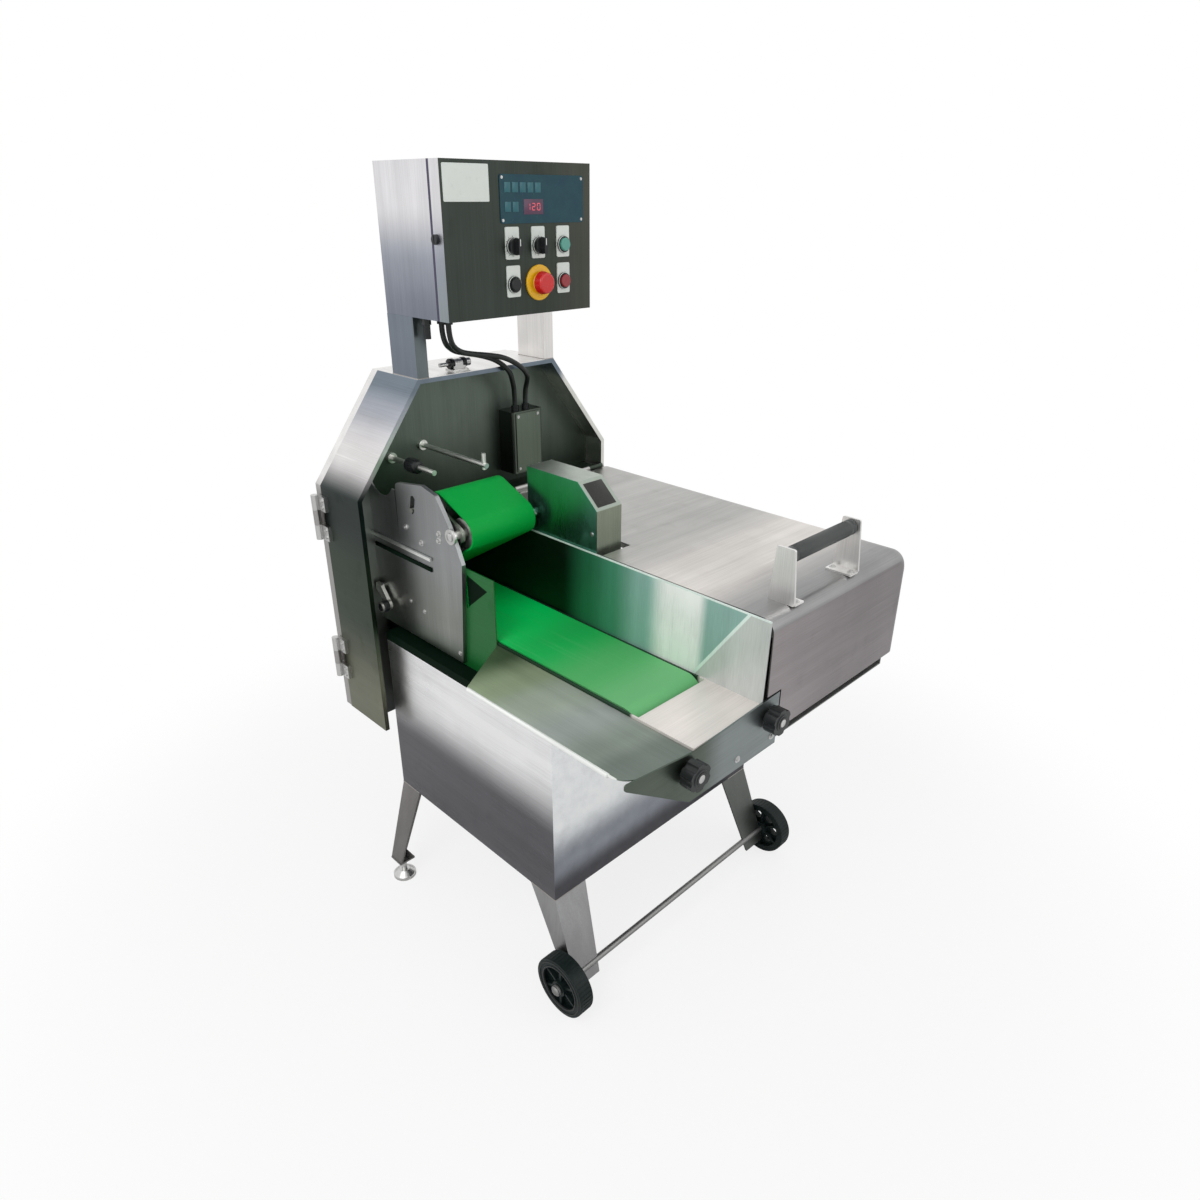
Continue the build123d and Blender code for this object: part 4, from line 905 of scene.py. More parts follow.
@dataclass
class HeadHousing:
    """The six-sided head: band, partition, rear cover, hinges, interlock and posts."""

    shoulder_drop: float = 198.0
    hinge_leaf: float = 30.0
    leaf_inset: float = 8.0
    leaf_setback: float = 9.0
    leaf_half: float = 10.0
    post_width: float = 24.0
    bolt_height: float = 13.0
    collar_starts: tuple[float, ...] = (-1.5, 26.0)
    collar_length: float = 10.0
    foot_insets: Point = (2.4, 6.0, 3.0)

    def build(self) -> None:
        """Dresses the head and adds its screws and welds."""
        low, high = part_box("head_band")
        shoulder = high.z - self.shoulder_drop * MM
        # Painted reflections and highlights: the band darkens up towards the shoulder, is light at the
        # shoulder and bluish on the slant, has a pale top face, and is lighter on its far side.
        BrushedSteel("band_sheet", (0.17, 0.175, 0.125), (
            Shade(Z, low.z, 60, 250, (0.026, 0.044, 0.026)),
            *shades(
                Z, shoulder, (-150, -50, (0.014, 0.026, 0.023)), (-4, 50, (0.68, 0.66, 0.66)),
                (70, self.shoulder_drop - 50, (0.37, 0.39, 0.44))),
            *shades(Z, high.z, (-60, -15, (0.17, 0.21, 0.25)), (-1.5, -0.5, PALE)),
            Shade(Y, MID_Y, 180, 200, (0.75, 0.75, 0.70)),
        ), X, 0.33).dress("head_band")
        # Painted light and shade: darker below the shoulder and lighter above it, with a lighter zone at the
        # near end so that the gap there does not show dark.
        BrushedSteel("partition_sheet", (0.060, 0.078, 0.062), (
            Shade(Z, shoulder, -20, 100, (0.120, 0.148, 0.125)),
            Shade(Y, MID_Y, -246, -254, (0.30, 0.33, 0.30), (
                Shade(Z, shoulder, -40, 0, (0.120, 0.148, 0.125)),)),
        ), Z, 0.42).dress("partition_plate")
        # Painted highlight: the rear cover is lighter above the shoulder.
        BrushedSteel("rear_sheet", (0.40, 0.39, 0.38), (
            Shade(Z, shoulder, -20, 20, PALE),), Z, 0.34).dress("rear_cover")
        # Painted light and shade: the posts' front face is darker and their far side lighter.
        BrushedSteel("post_sheet", (0.20, 0.23, 0.275), (
            Shade(X, high.x, -2, -0.5, (0.15, 0.175, 0.18)),
            Shade(Y, MID_Y, 0, 10, (0.78, 0.76, 0.74)),
        ), Z, 0.32).dress("control_posts")
        SCREW.dress("cover_hinges", "interlock_housing", "interlock_bolt")
        self._hinge_screws()
        self._post_welds()
        self._interlock()

    def _hinge_screws(self) -> None:
        """Sets two screws in each fixed hinge leaf."""
        low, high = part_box("cover_hinges")
        leaf = self.hinge_leaf * MM
        Fasteners("hinge_screws", "frame", [
            ((high.x - self.leaf_setback * MM, low.y + self.leaf_half * MM, z), NEARWARD)
            for start in (low.z, low.z + 2 * leaf, high.z - 3 * leaf, high.z - leaf)
            for z in inside(start, start + leaf, self.leaf_inset)], Head.HEX, 3.6, 2.4).build()

    def _post_welds(self) -> None:
        """Welds the posts to the top of the head."""
        low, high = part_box("control_posts")
        front, _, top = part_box("head_band")[1]
        width = self.post_width * MM
        WeldSeam("post_welds", [[
            (x, y + across, top)
            for x, across in ((low.x, 0), (front, 0), (front, width), (low.x, width), (low.x, 0))]
            for y in (low.y, high.y - width)], 2.2).build()

    def _interlock(self) -> None:
        """Adds the interlock's black end collars and foot screws."""
        low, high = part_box("interlock_housing")
        centre = ((low.x + high.x) / 2, low.y, low.z + self.bolt_height * MM)
        form = Form()
        for start in self.collar_starts:
            end = start + self.collar_length
            form.turned([
                (4.3, start), (9.2, start), (9.9, start + 1), (9.9, end - 1), (9.2, end), (4.3, end),
                (4.3, start)], centre, Y)
        form.hang("interlock_collars", BLACK, "frame")
        back, side, up = self.foot_insets
        Fasteners("interlock_screws", "frame", [
            ((x, y, low.z + up * MM), UPWARD) for x in inside(low.x, high.x, back)
            for y in inside(low.y, high.y, side)], Head.PAN, 1.5, 1.2).build()


@dataclass
class ControlBox:
    """Box, door, display, legend plates and the switches."""

    first_column: float = -23.0
    column_pitch: float = 59.0
    lower_row: float = 53.0
    row_pitch: float = 62.0
    switch_bore: float = 11.35
    bezel_radius: float = 14.4
    collar_radius: float = 30.3
    window_half: Pair = (22.0, 12.0)
    key_half: Pair = (6.5, 8.0)
    key_pitch: float = 17.0
    first_key: float = 16.0
    key_drop: float = 20.0
    window_middle: float = 27.0
    window_drop: float = 12.0
    digit_pitch: float = 11.5
    panel_inset: float = 5.0
    pointer_half: float = 0.8
    pointer_ends: Pair = (1.0, 12.0)
    shown: str = "120"

    def build(self) -> None:
        """Dresses the box and adds what is on its door."""
        low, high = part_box("control_box")
        door_low, door_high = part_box("control_door")
        # Painted reflection: the box's sides are darker at the bottom and lighter upwards.
        side_shades = shades(
            Z, low.z, (0, 120, (0.33, 0.35, 0.40)),
            (90, (high.z - low.z) / MM - 60, (0.72, 0.71, 0.725)))
        BrushedSteel("box_sheet", (0.22, 0.24, 0.29), side_shades, Z, 0.35).dress("control_box")
        # The door is dark along its back edge; its side flange is painted lighter with the box's painted
        # gradient, and its front face is a painted dark reflection, lighter towards the far side.
        BrushedSteel("door_sheet", (0.085, 0.080, 0.125), (
            Shade(X, high.x, 2.6, 3.4, (0.30, 0.34, 0.36), side_shades),
            Shade(X, door_high.x, -1.4, -0.5, (0.048, 0.057, 0.049), (
                Shade(Y, MID_Y, 20, 160, (0.066, 0.070, 0.058)),)),
        ), Z, 0.42).dress("control_door")
        DisplayFilm("display_film", (0.008, 0.045, 0.075), (0.018, 0.075, 0.090)).dress("display_panel")
        WHITE.dress("legend_plates")
        BLACK.dress("switch_bodies", "speed_knob", "mode_knob", "jog_button", "door_lock", "cable_glands")
        GREEN.dress("start_button")
        DARK_RED.dress("stop_button")
        RED.dress("emergency_button")
        GREY.dress("control_gear")
        spots = [
            (door_high.x, from_mid(self.first_column + self.column_pitch * column),
             door_low.z + (self.lower_row + self.row_pitch * row) * MM)
            for row in range(2) for column in range(3)]
        self._face(spots)
        self._digits()
        half, (start, end) = self.pointer_half * MM, self.pointer_ends
        for node, body, (_, y, z) in (
                ("speed_knob", "speed_dial", spots[3]), ("mode_knob", "mode_switch", spots[4])):
            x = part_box(node)[1].x
            Form().block(
                (x - 0.3 * MM, y - half, z + start * MM), (x + 0.4 * MM, y + half, z + end * MM), 0.15,
            ).hang(f"{node}_pointer", WHITE, body)

    def _face(self, spots: Sequence[Point]) -> None:
        """Adds bezels, the yellow collar, the dials' ticks and the display's screws.

        Args:
            spots: the six switch centres on the door's front, row by row from the lower near one.
        """
        bore, bezel, rim = self.switch_bore, self.bezel_radius, self.collar_radius
        form = Form()
        for spot in (*spots[:1], *spots[2:]):
            form.turned([
                (bore, 2.1), (14.2, 2.1), (bezel, 3.2), (bezel - 0.9, 6.2), (bore, 6.2), (bore, 2.1)],
                spot, X)
        form.hang("switch_bezels", BLACK, "box_door")
        Form().turned([
            (bore, 0.3), (rim, 0.3), (rim, 2.6), (rim - 1, 3.6), (17, 4.6), (15.5, 6.3), (bore, 6.3),
            (bore, 0.3)], spots[1], X, 56).hang("emergency_collar", YELLOW, "box_door")
        for label, (x, y, z) in (("speed", spots[3]), ("mode", spots[4])):
            RibRing(f"{label}_ticks", "box_door", (x + 2.05 * MM, y, z), X, 12, 15.9,
                    (2.0, 0.6, 0.3), BLACK).build()
        low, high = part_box("display_panel")
        Fasteners("display_screws", "box_door", [
            ((high.x, y, z), FEEDWARD) for y in inside(low.y, high.y, self.panel_inset)
            for z in inside(low.z, high.z, self.panel_inset)], Head.PAN, 1.7, 0.9).build()

    def _digits(self) -> None:
        """Adds the display's window, its lit numbers and its plain keys."""
        low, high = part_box("display_panel")
        x, window_y = high.x, from_mid(self.window_middle)
        window_z = (low.z + high.z) / 2 - self.window_drop * MM

        def tile(form: Form, y: float, z: float, half: Sequence[float], depth: Sequence[float]) -> None:
            """Adds a flat block round a place on the panel: half its size, its depths and its bevel."""
            wide, tall = half[0] * MM, half[1] * MM
            back, front, bevel = depth
            form.block((x + back * MM, y - wide, z - tall), (x + front * MM, y + wide, z + tall), bevel)

        form = Form()
        tile(form, window_y, window_z, self.window_half, (-0.2, 0.6, 0.3))
        form.hang(
            "display_window", DisplayFilm("window_film", (0.14, 0.05, 0.10), (0.10, 0.08, 0.11)), "box_door")
        # Each stroke's middle and half its size; a to g run as on any display of seven strokes.
        strokes = {
            "a": (0, 5.2, 2.8, 0.6), "b": (3.1, 2.6, 0.6, 2.1), "c": (3.1, -2.6, 0.6, 2.1),
            "d": (0, -5.2, 2.8, 0.6), "e": (-3.1, -2.6, 0.6, 2.1), "f": (-3.1, 2.6, 0.6, 2.1),
            "g": (0, 0, 2.8, 0.6)}
        lit = {"1": "bc", "2": "abged", "0": "adfbec"}
        form = Form()
        for place, digit in enumerate(self.shown, -1):
            for across, up, *half in (strokes[stroke] for stroke in lit[digit]):
                y = window_y + (place * self.digit_pitch + across) * MM
                tile(form, y, window_z + up * MM, half, (0.5, 0.9, 0.15))
        form.hang("display_digits", Lit("display_red", (0.70, 0.10, 0.13), 0.6), "box_door")
        form = Form()
        upper = high.z - self.key_drop * MM
        for column, z in [(column, upper) for column in range(5)] + [(0, window_z), (1, window_z)]:
            y = low.y + (self.first_key + self.key_pitch * column) * MM
            tile(form, y, z, self.key_half, (-0.1, 0.7, 0.6))
        form.hang("display_keys", DisplayFilm("key_film", (0.03, 0.12, 0.15), (0.05, 0.17, 0.19)), "box_door")


@dataclass
class Cables:
    """The two cables from the control box down to the junction box.

    A gland's place is (from the box's side, from the middle plane). A route has the steps from
    its upper gland and those from its lower one.
    """

    diameter: float = 10.0
    gland_radius: float = 7.0
    gland_length: float = 12.0
    upper_glands: tuple[Pair, ...] = ((-51.25, -124), (-33.25, -122))
    lower_glands: tuple[Pair, ...] = ((34, 78), (34, 106))
    screw_insets: Pair = (14.0, 10.0)
    routes: tuple[tuple[Sequence[Point], Sequence[Point]], ...] = (
        (((0, 0, -30), (-3, 22, -50), (-8, 54, -58), (-12, 93, -67), (-15, 131, -80), (-17, 164, -104)),
         ((16, -16, 51), (0, 0, 28))),
        (((0, 0, -30), (-4, 22, -50), (-9, 55, -58), (-14, 96, -65), (-18, 140, -75), (-20, 180, -97)),
         ((37, -22, 66), (14, -5, 47), (0, 0, 25))))

    def build(self) -> None:
        """Draws both cables and the ribs of their glands."""
        low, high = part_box("junction_box")
        # Painted light: the junction box's front face is lighter than its sides.
        BrushedSteel("junction_sheet", (0.07, 0.08, 0.07), (
            Shade(X, high.x, -3, -1, (0.13, 0.16, 0.125)),), Z, 0.38).dress("junction_box")
        box_low, box_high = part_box("control_box")
        gland = self.gland_length * MM
        starts = [(box_high.x + x * MM, from_mid(y), box_low.z - gland) for x, y in self.upper_glands]
        ends = [(low.x + x * MM, from_mid(y), high.z + gland) for x, y in self.lower_glands]
        for side, start, end, route in zip(SIDES, starts, ends, self.routes):
            self._cable(f"cable_{side}", start, end, *route)
        for label, places, shift in (("box", starts, gland / 2), ("junction", ends, -gland / 2)):
            for side, (x, y, z) in zip(SIDES, places):
                RibRing(f"{label}_gland_{side}", "frame", (x, y, z + shift), Z, 10,
                        self.gland_radius, (2.0, 1.6, 9.0), BLACK).build()
        side, up = self.screw_insets
        Fasteners("junction_screws", "frame", [
            ((high.x, y, z), FEEDWARD) for y in inside(low.y, high.y, side)
            for z in inside(low.z, high.z, up)], Head.PAN, 2.2, 1.4).build()

    def _cable(
        self, name: str, start: Point, end: Point, after: Sequence[Point], before: Sequence[Point],
    ) -> None:
        """Draws one cable as a smooth curve through its route.

        Args:
            name: the piece's name.
            start: where it leaves its upper gland.
            end: where it enters its lower gland.
            after: steps from the start, in millimetres.
            before: steps from the end, in millimetres.
        """
        route = [
            Vector(start), *(Vector(start) + Vector(step) * MM for step in after),
            *(Vector(end) + Vector(step) * MM for step in before), Vector(end)]
        curve = bpy.data.curves.new(name, "CURVE")
        curve.dimensions = "3D"
        curve.bevel_depth = self.diameter / 2 * MM
        curve.bevel_resolution = 6
        curve.resolution_u = 12
        curve.use_fill_caps = True
        line = curve.splines.new("NURBS")
        line.points.add(len(route) - 1)
        for knot, place in zip(line.points, route):
            knot.co = (*place, 1.0)
        line.order_u = 3
        line.use_endpoint_u = True
        curve.materials.append(CABLE.material())
        made = add_object(name, curve)
        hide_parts("control_cables")
        CABLE.hang(made, "frame")


@dataclass
class FeedBed:
    """Bed pan with its apron, end plate, guide wall, feed belt and tension knobs."""

    short_wall_reach: float = 75.0
    knob_radius: float = 22.0
    flute_count: int = 36
    screw_height: float = 18.0
    screw_steps: tuple[float, ...] = (12.0, 100.0, 190.0)
    flute_middle: float = 12.5
    flute_drop: float = 4.8

    def build(self) -> None:
        """Dresses the bed and adds its screws, knob faces and flutes."""
        low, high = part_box("guide_wall")
        plate_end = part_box("side_plate")[1].x
        apron_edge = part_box("bed_pan")[0].y
        front, wall_end = high.x, self.short_wall_reach
        # Painted reflections: the pan is green by the short wall, where it mirrors the belt, then grey tones
        # that change along X; its outer edge has a painted highlight, and beyond the guide wall it goes back
        # to plain grey.
        BrushedSteel("apron_sheet", (0.002, 0.125, 0.020), (
            Shade(X, plate_end, wall_end - 1, wall_end + 1, (0.075, 0.12, 0.06)),
            *shades(
                X, front, (-395, -320, (0.40, 0.48, 0.31)), (-310, -245, (0.48, 0.53, 0.45)),
                (-220, -160, (0.42, 0.45, 0.43)), (-150, -80, (0.26, 0.30, 0.26)),
                (-75, -40, (0.170, 0.205, 0.18))),
            Shade(Y, apron_edge, 7, 6, EDGE_HIGHLIGHT),
            Shade(Y, high.y, 4, 12, (0.20, 0.21, 0.20)),
        ), X, 0.42, 0.35).dress("bed_pan")
        # Painted reflections: the guide wall goes from near black at its rear through green-grey to a bright
        # band and darker again; the leaning shades paint a highlight along its fold and a lighter flared
        # front triangle, and its top rim has a painted highlight.
        BrushedSteel("guide_sheet", (0.0, 0.006, 0.001), (
            *shades(
                X, front, (-450, -385, (0.020, 0.150, 0.070)), (-385, -325, (0.057, 0.255, 0.153)),
                (-325, -254, (0.265, 0.460, 0.415)), (-245, -200, (0.98, 0.98, 0.98)),
                (-137, -114, (0.290, 0.470, 0.430)),
                (-592.5, -590.5, (0.80, 0.92, 0.88), (), 0.70),
                (-586.5, -584.5, (0.58, 0.61, 0.59), (), 0.70)),
            Shade(Z, high.z, -3, -2, (0.80, 0.90, 0.86)),
        ), Z, 0.42, 0.30).dress("guide_wall")
        # Painted light: the end plate is darker on its near side and lighter towards the far side.
        BrushedSteel("end_sheet", (0.10, 0.125, 0.10), (
            Shade(Y, MID_Y, -240, -170, (0.24, 0.27, 0.27)),), Y, 0.36).dress("end_plate")
        # Painted shade: the slider bed is dark green beside the belt; in front of the belt its nose has a
        # light tone.
        BrushedSteel("nose_sheet", (0.02, 0.06, 0.03), (
            Shade(X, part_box("feed_belt")[1].x, -14, -6, (0.86, 0.80, 0.76)),
        ), Y, 0.40, 0.35).dress("slider_bed")
        # Painted light: the belt is brightest at its rear, where it lies in shade, darker towards the middle
        # and lighter again near the front.
        BeltSkin("feed_belting", (0.0, 1.0, 0.19), (0.16, 0.60, 0.24), shades(
            X, front, (-520, -370, (0.018, 0.51, 0.108)), (-360, -250, (0.10, 0.48, 0.15)),
            (-250, -160, (0.168, 0.52, 0.21)))).dress("feed_belt")
        SCREW.dress("drive_roller", "tail_roller")
        BLACK.dress("tension_knob_near", "tension_knob_far")
        for side in SIDES:
            self._knob(side)
        low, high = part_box("end_plate")
        Fasteners("end_plate_screws", "frame", [
            ((high.x, high.y - step * MM, low.z + self.screw_height * MM), FEEDWARD)
            for step in self.screw_steps], Head.HEX, 4.0, 2.6).build()

    def _knob(self, side: str) -> None:
        """Adds a tension knob's bright nut, cap ring and flutes.

        Args:
            side: near or far.
        """
        body = f"{side}_screw"
        low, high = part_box(f"tension_knob_{side}")
        centre = (high.x, (low.y + high.y) / 2, (low.z + high.z) / 2)
        Form().turned(
            [(0, 0.8), (5.5, 0.8), (6.5, 0.2), (6.5, -1.5), (0, -1.5)], centre, X, 24,
        ).hang(f"knob_insert_{side}", SCREW, body)
        Form().turned(
            [(9.5, -2.4), (10.5, -0.6), (13.5, -0.6), (14.5, -2.4)], centre, X,
        ).hang(f"knob_ring_{side}", BLACK, body)
        RibRing(f"knob_flutes_{side}", body, (high.x - self.flute_middle * MM, *centre[1:]), X,
                self.flute_count, self.knob_radius - self.flute_drop, (0.8, 0.9, 17.0), BLACK).build()


@dataclass
class PressUnit:
    """Side plate, clamp lever, press arms, rollers and belt, pressure rods and guard."""

    ledge_depth: float = 6.0
    shadow_strip_heights: Pair = (158.0, 166.0)
    shadow_strip_insets: Pair = (4.0, 92.0)
    shadow_sheet_reach: float = 62.0
    shadow_sheet_drops: Pair = (84.0, 6.0)
    rod_radius: float = 12.0
    knob_middle: float = 75.0
    ball_radius: float = 11.5
    ball_inset: float = 10.0
    slope_run: float = 48.0
    slope_drop: float = 43.0
    window_size: Point = (50.0, 44.0, 1.6)

    def build(self) -> None:
        """Dresses the press unit and adds its bolts, caps and knobs."""
        low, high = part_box("press_guard")
        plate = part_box("side_plate")[0]
        # Painted shade: the side plate is darker at the bottom and lighter upwards, with a painted highlight
        # along its ledge.
        BrushedSteel("side_sheet", (0.155, 0.18, 0.155), (
            *shades(Z, plate.z, (0, 60, (0.27, 0.28, 0.26)), (80, 200, (0.32, 0.33, 0.335))),
            Shade(Y, plate.y, 4.4, 3.6, EDGE_HIGHLIGHT),
        ), Z, 0.36).dress("side_plate")
        BrushedSteel("arm_sheet", (0.30, 0.31, 0.28), (), X, 0.32).dress("press_frame")
        BrushedSteel("lever_sheet", (0.78, 0.78, 0.74), (), X, 0.36).dress("clamp_lever")
        BrushedSteel("rod_steel", (0.72, 0.73, 0.69), (), X, 0.38).dress("pressure_rods")
        # Painted reflection and shade: the guard's near face is lighter and its front face darker than its
        # green-grey tone elsewhere.
        BrushedSteel("guard_sheet", (0.15, 0.40, 0.31), (
            Shade(Y, low.y, 0.3, 1.2, (0.38, 0.43, 0.375)),
            Shade(X, high.x, -1.2, -0.3, (0.27, 0.31, 0.245)),
        ), Z, 0.30).dress("press_guard")
        BeltSkin("press_belting", (0.0, 0.38, 0.055), (0.03, 0.45, 0.09)).dress("press_belt")
        SCREW.dress("press_front_roller", "press_top_roller", "press_rear_roller")
        self._plate_details()
        self._caps()
        self._shadow_strips()
        self._guard_window()

    def _plate_details(self) -> None:
        """Sets the bolts and screws of the side plate."""
        low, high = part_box("side_plate")
        bolts = ((high.x, -61, 240), (high.x, -63, 227), (low.x, 166, 207), (low.x, 118, 225))
        screws = ((low.x, 109, 72), (low.x, 154, 65), (high.x, -24, 18))
        for name, places, head, radius, height in (
                ("side_bolts", bolts, Head.HEX, 4.2, 4.0), ("side_screws", screws, Head.PAN, 3.2, 2.0)):
            Fasteners(name, "frame", [
                ((x + along * MM, low.y + self.ledge_depth * MM, low.z + up * MM), NEARWARD)
                for x, along, up in places], head, radius, height).build()

    def _shadow_strips(self) -> None:
        """Adds painted shadow: a black strip under the ledge and a black sheet behind the short wall's
        cut-out.
        """
        low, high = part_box("side_plate")
        face = low.y + self.ledge_depth * MM
        bottom, top = (low.z + height * MM for height in self.shadow_strip_heights)
        rear, front = (inset * MM for inset in self.shadow_strip_insets)
        # Painted shadow: a black strip under the side plate's ledge.
        Form().block(
            (low.x + rear, face - 2.2 * MM, bottom), (high.x - front, face - 0.2 * MM, top), 0.4,
        ).hang("ledge_seal", BLACK_RUBBER_AND_SHADOW, "frame")
        # Painted shadow: a black sheet that darkens the short wall's cut-out.
        inner, wall_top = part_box("slider_bed")[0].y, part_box("bed_pan")[1].z
        bottom, top = (wall_top - drop * MM for drop in self.shadow_sheet_drops)
        Form().block(
            (high.x - 3 * MM, inner, bottom), (high.x + self.shadow_sheet_reach * MM, inner + 0.8 * MM, top), 0.2,
        ).hang("wall_flap", BLACK_RUBBER_AND_SHADOW, "frame")

    def _caps(self) -> None:
        """Adds the rod's black knob, the lever's black ball and the press pivot's cap."""
        x, y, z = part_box("pressure_rods")[0] + Vector((0, self.rod_radius, self.rod_radius)) * MM
        Form().turned([
            (5.2, 60), (11, 60), (13, 62), (13, 88), (11, 93), (6, 95), (5.2, 95), (5.2, 60)],
            (x, y, z), X).hang("pressure_knob", BLACK, "frame")
        RibRing("pressure_knob_flutes", "frame", (x + self.knob_middle * MM, y, z), X, 18, 12.9,
                (1.2, 1.8, 24.0), BLACK).build()
        low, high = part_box("clamp_lever")
        inset = self.ball_inset * MM
        ball = (high.x - inset, low.y + inset, low.z + inset)
        form = Form()
        bmesh.ops.create_uvsphere(form.mesh, u_segments=28, v_segments=18, radius=self.ball_radius * MM,
                                  matrix=Matrix.Translation(ball) @ Matrix.Diagonal((1, 1.15, 1, 1)))
        form.hang("lever_ball", BLACK, "lever")
        low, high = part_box("press_front_roller")
        pivot = ((low.x + high.x) / 2, low.y, (low.z + high.z) / 2)
        Form().turned([
            (8.3, 1.5), (13.5, 1.5), (14.5, 3), (14.5, 5.9), (8.3, 5.9), (8.3, 1.5)],
            pivot, Y).hang("pivot_collar", SCREW, "frame")
        Form().turned([
            (0, -1.2), (5, -1), (7.6, 0.3), (7.9, 1.2), (0, 1.2)],
            pivot, Y, 28).hang("pivot_end", SCREW, "press_front")

    def _guard_window(self) -> None:
        """Adds the dark sight window on the guard's slope and the guard's screws."""
        low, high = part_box("press_guard")
        start = Vector((high.x - self.slope_run * MM, 0, high.z))
        end = Vector((high.x, 0, high.z - self.slope_drop * MM))
        along = (end - start).normalized()
        out = Vector((-along.z, 0, along.x))
        middle = (start + end) / 2 + Y.vector * ((low.y + high.y) / 2)
        turn = Matrix((along, Y.vector, out)).transposed().to_4x4()
        size = Matrix.Diagonal((*(side * MM for side in self.window_size), 1.0))
        film = DisplayFilm("smoked_window", (0.02, 0.022, 0.02), (0.05, 0.05, 0.045))
        Form().slab(Matrix.Translation(middle) @ turn @ size, 0.4, 0.5).hang("guard_window", film, "frame")
        Fasteners("guard_screws", "frame", [
            ((x, low.y, low.z + 250 * MM), NEARWARD) for x in (low.x + 20 * MM, high.x - 12 * MM)],
            Head.PAN, 3.0, 1.6).build()


@dataclass
class DriveCover:
    """The table lid over the drives and its handle."""

    grip_radius: float = 12.4
    grip_height: float = 75.0
    bracket_sheet: float = 5.0
    flute_count: int = 30
    barrel_steps: int = 10
    bolt_inset: float = 15.0
    bolt_reach: float = 17.0

    def build(self) -> None:
        """Dresses the lid, and adds the handle's grip and its bolts."""
        low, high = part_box("drive_cover")
        # Painted reflection and shade: the lid is lighter in a band and darker towards its end by the handle,
        # and its end face is painted darker, more so towards the far side.
        BrushedSteel("lid_sheet", (0.45, 0.445, 0.43), (
            *shades(X, high.x, (-330, -210, (0.66, 0.63, 0.60)), (-155, -40, (0.30, 0.30, 0.30))),
            Shade(X, high.x, -1.2, -0.3, (0.33, 0.300, 0.305), (
                Shade(Y, low.y, 30, 200, (0.255, 0.235, 0.24)),)),
        ), Y, 0.38).dress("drive_cover")
        BrushedSteel("bracket_sheet", PALE, (), Z, 0.34).dress("cover_handle")
        low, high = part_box("cover_handle")
        x, z = (low.x + high.x) / 2, low.z + self.grip_height * MM
        start, end = inside(low.y, high.y, self.bracket_sheet)
        length, radius = (end - start) / MM, self.grip_radius
        rim = [(-1.5, 0), (0.6, 1.2), (0.6, 6), (-0.4, 8)]
        barrel = [
            (0.5 * math.sin(math.pi * step / self.barrel_steps),
             length * (0.06 + 0.88 * step / self.barrel_steps)) for step in range(self.barrel_steps + 1)]
        far_rim = [(more, length - along) for more, along in reversed(rim)]
        profile = [(0, 0), *((radius + more, along) for more, along in rim + barrel + far_rim), (0, length)]
        Form().turned(profile, (x, start, z), Y, 48).hang("handle_grip", GRIP, "lid")
        RibRing("grip_flutes", "lid", (x, (start + end) / 2, z), Y, self.flute_count, radius + 0.2,
                (0.9, 1.0, 150.0), GRIP).build()
        reach = self.bolt_reach * MM
        Fasteners("handle_bolts", "lid", [
            ((along, y, low.z + 3 * MM), UPWARD) for y in inside(low.y, high.y, self.bolt_inset)
            for along in (x - reach, x + reach)], Head.HEX, 4.0, 3.0).build()


@dataclass
class CutterDrive:
    """Knife disc, shaft, bearings, pulleys, belt and both motors."""

    bolt_circle: float = 100.0
    bolt_count: int = 10
    first_bolt: float = 8.0
    bolt_face: float = 22.0

    def build(self) -> None:
        """Dresses the drive, most of which shows only with the covers open."""
        low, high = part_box("cutter_disc")
        centre = (low + high) / 2
        GroundBlade("knife_steel", tuple(centre)).dress("cutter_knives")
        CAST.dress("cutter_disc", "cutter_pulley", "motor_pulley", "shaft_bearings")
        SCREW.dress("cutter_shaft")
        BLACK_RUBBER_AND_SHADOW.dress("drive_belt")
        MOTOR_BLUE.dress("cutter_motor", "feed_gearmotor")
        spots = []
        for step in range(self.bolt_count):
            spoke = X.spoke(math.radians(360 / self.bolt_count * step + self.first_bolt))
            _, y, z = centre + spoke * (self.bolt_circle * MM)
            spots.append(((low.x + self.bolt_face * MM, y, z), REARWARD))
        Fasteners("disc_bolts", "cutter", spots, Head.HEX, 5.0, 4.0).build()


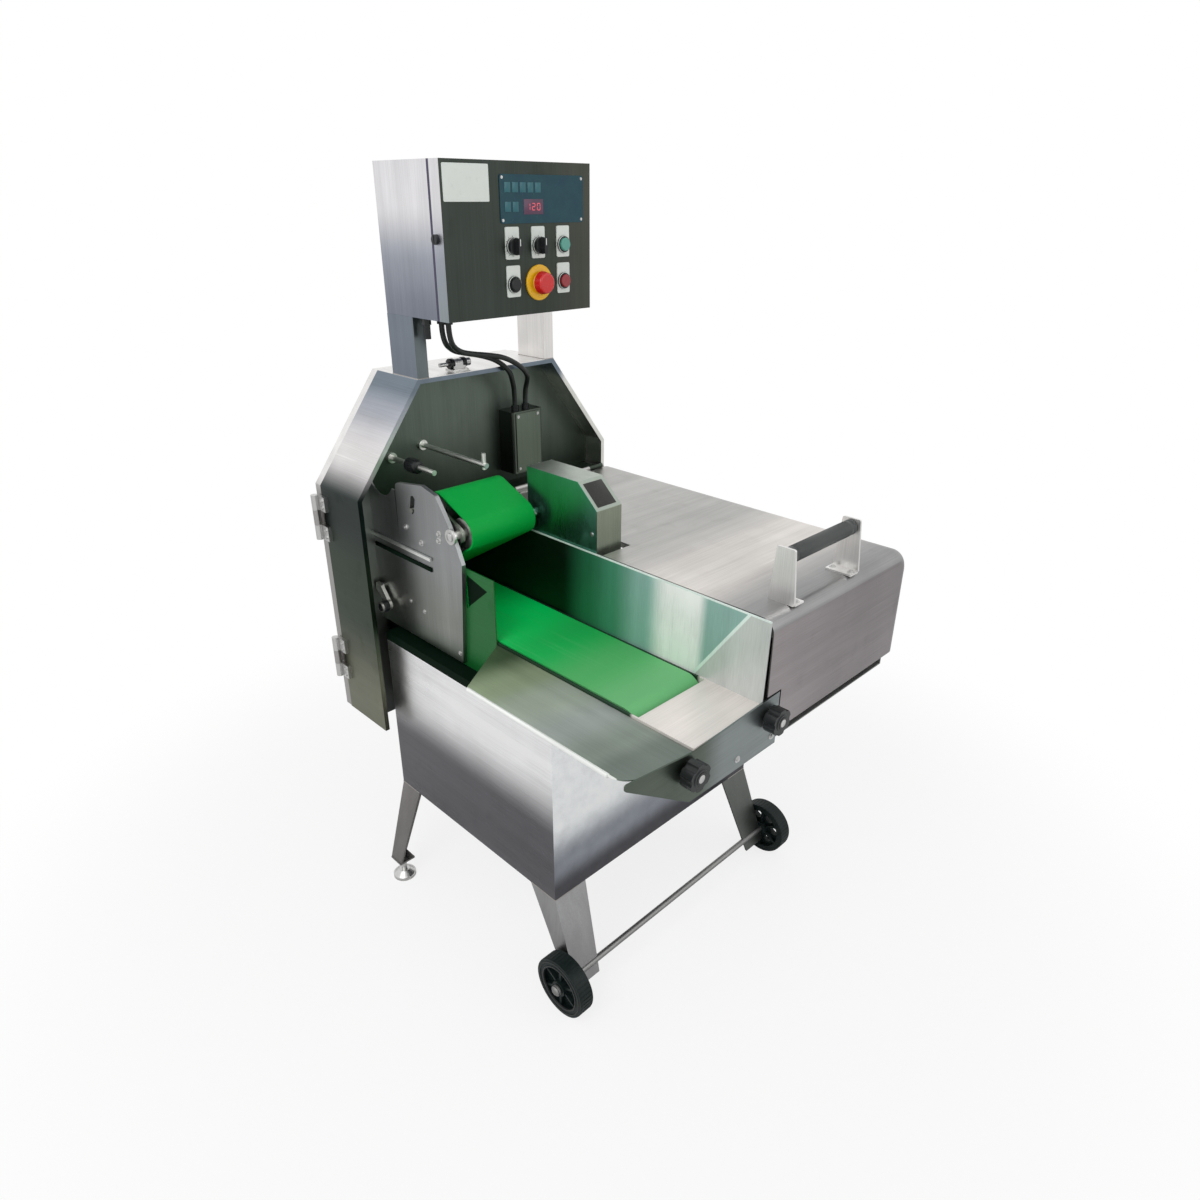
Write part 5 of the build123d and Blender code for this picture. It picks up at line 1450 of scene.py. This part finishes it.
@dataclass
class Studio:
    """Pale floor, plain light and the photograph's camera. Places are in metres."""

    camera_place: Point = (1.0372, -1.0350, 1.3460)
    azimuth: float = 45.1
    pitch: float = 25.4
    roll: float = 0.2
    focal_share: float = 849.3 / 1200.0
    sensor: float = 36.0
    aim: Point = (0.0, 0.0, 0.7)
    lamps: tuple = (("key", (0.6, -2.6, 2.9), 2.2, 34.0), ("fill", (3.0, 1.2, 2.2), 2.4, 14.0))

    def build(self) -> None:
        """Sets up the world, the floor, the lamps and the camera."""
        self._world()
        self._floor()
        for name, place, size, power in self.lamps:
            lamp = bpy.data.lights.new(name, "AREA")
            lamp.shape = "DISK"
            lamp.size = size
            lamp.energy = power
            made = add_object(name, lamp)
            made.location = place
            made.rotation_euler = (Vector(self.aim) - made.location).to_track_quat("-Z", "Y").to_euler()
        self._camera()
        bpy.context.scene.view_settings.view_transform = "Standard"

    def _world(self) -> None:
        """White all round, a little dimmer as a light than as a background."""
        world = bpy.data.worlds.new("white_room")
        bpy.context.scene.world = world
        world.use_nodes = True
        paint = Paint(world.node_tree)
        camera, glossy, through = (
            paint.node("ShaderNodeLightPath", out=f"Is {kind} Ray")
            for kind in ("Camera", "Glossy", "Transmission"))
        seen = camera.larger(glossy).larger(through)
        shade = paint.node("ShaderNodeBackground", inputs={
            "Color": (1.0, 1.0, 1.0, 1.0), "Strength": seen * 0.38 + 0.62})
        paint.node("ShaderNodeOutputWorld", inputs={"Surface": shade})

    def _floor(self) -> None:
        """A pale floor that keeps the machine's shadow."""
        made = bpy.data.materials.new("pale_floor")
        made.use_nodes = True
        paint = Paint(made.node_tree)
        matt = paint.node("ShaderNodeBsdfDiffuse", inputs={"Color": (0.93, 0.93, 0.93, 1.0)})
        glow = paint.node("ShaderNodeEmission", inputs={"Color": (1.0, 1.0, 1.0, 1.0), "Strength": 1.0})
        place, side = paint.along(X), paint.along(Y)
        away = (place * place + side * side).span(0.5, 2.2)
        camera = paint.node("ShaderNodeLightPath", out="Is Camera Ray")
        shown = paint.node("ShaderNodeMixShader", inputs={0: away * 0.20 + camera * 0.80, 1: matt, 2: glow})
        paint.node("ShaderNodeOutputMaterial", inputs={"Surface": shown})
        form = bmesh.new()
        bmesh.ops.create_grid(form, x_segments=8, y_segments=8, size=9.0)
        mesh = bpy.data.meshes.new("floor")
        form.to_mesh(mesh)
        form.free()
        mesh.materials.append(made)
        add_object("floor", mesh)

    def _camera(self) -> None:
        """The camera that the photograph was taken from."""
        turn, tilt, roll = (math.radians(angle) for angle in (self.azimuth, self.pitch, self.roll))
        ahead = Vector((-math.sin(turn) * math.cos(tilt), math.cos(turn) * math.cos(tilt), -math.sin(tilt)))
        level = Vector((math.cos(turn), math.sin(turn), 0.0))
        upright = level.cross(ahead)
        right = level * math.cos(roll) + upright * math.sin(roll)
        up = upright * math.cos(roll) - level * math.sin(roll)
        lens = bpy.data.cameras.new("photo_camera")
        lens.sensor_width = self.sensor
        lens.lens = self.focal_share * self.sensor
        made = add_object("photo_camera", lens)
        pose = Matrix((right, up, -ahead)).transposed().to_4x4()
        x, y, z = self.camera_place
        pose.translation = (x, y + MID_Y, z)
        made.matrix_world = pose
        bpy.context.scene.camera = made


def main() -> None:
    """Builds the machine's looks in order, from the stand up."""
    logging.basicConfig(level=logging.INFO, format="%(name)s: %(message)s")
    for part in (
            Studio(), Stand(), HeadHousing(), ControlBox(), Cables(), FeedBed(), PressUnit(), DriveCover(),
            CutterDrive()):
        part.build()
        log.info("%s done", type(part).__name__)


if __name__ == "__main__":
    main()
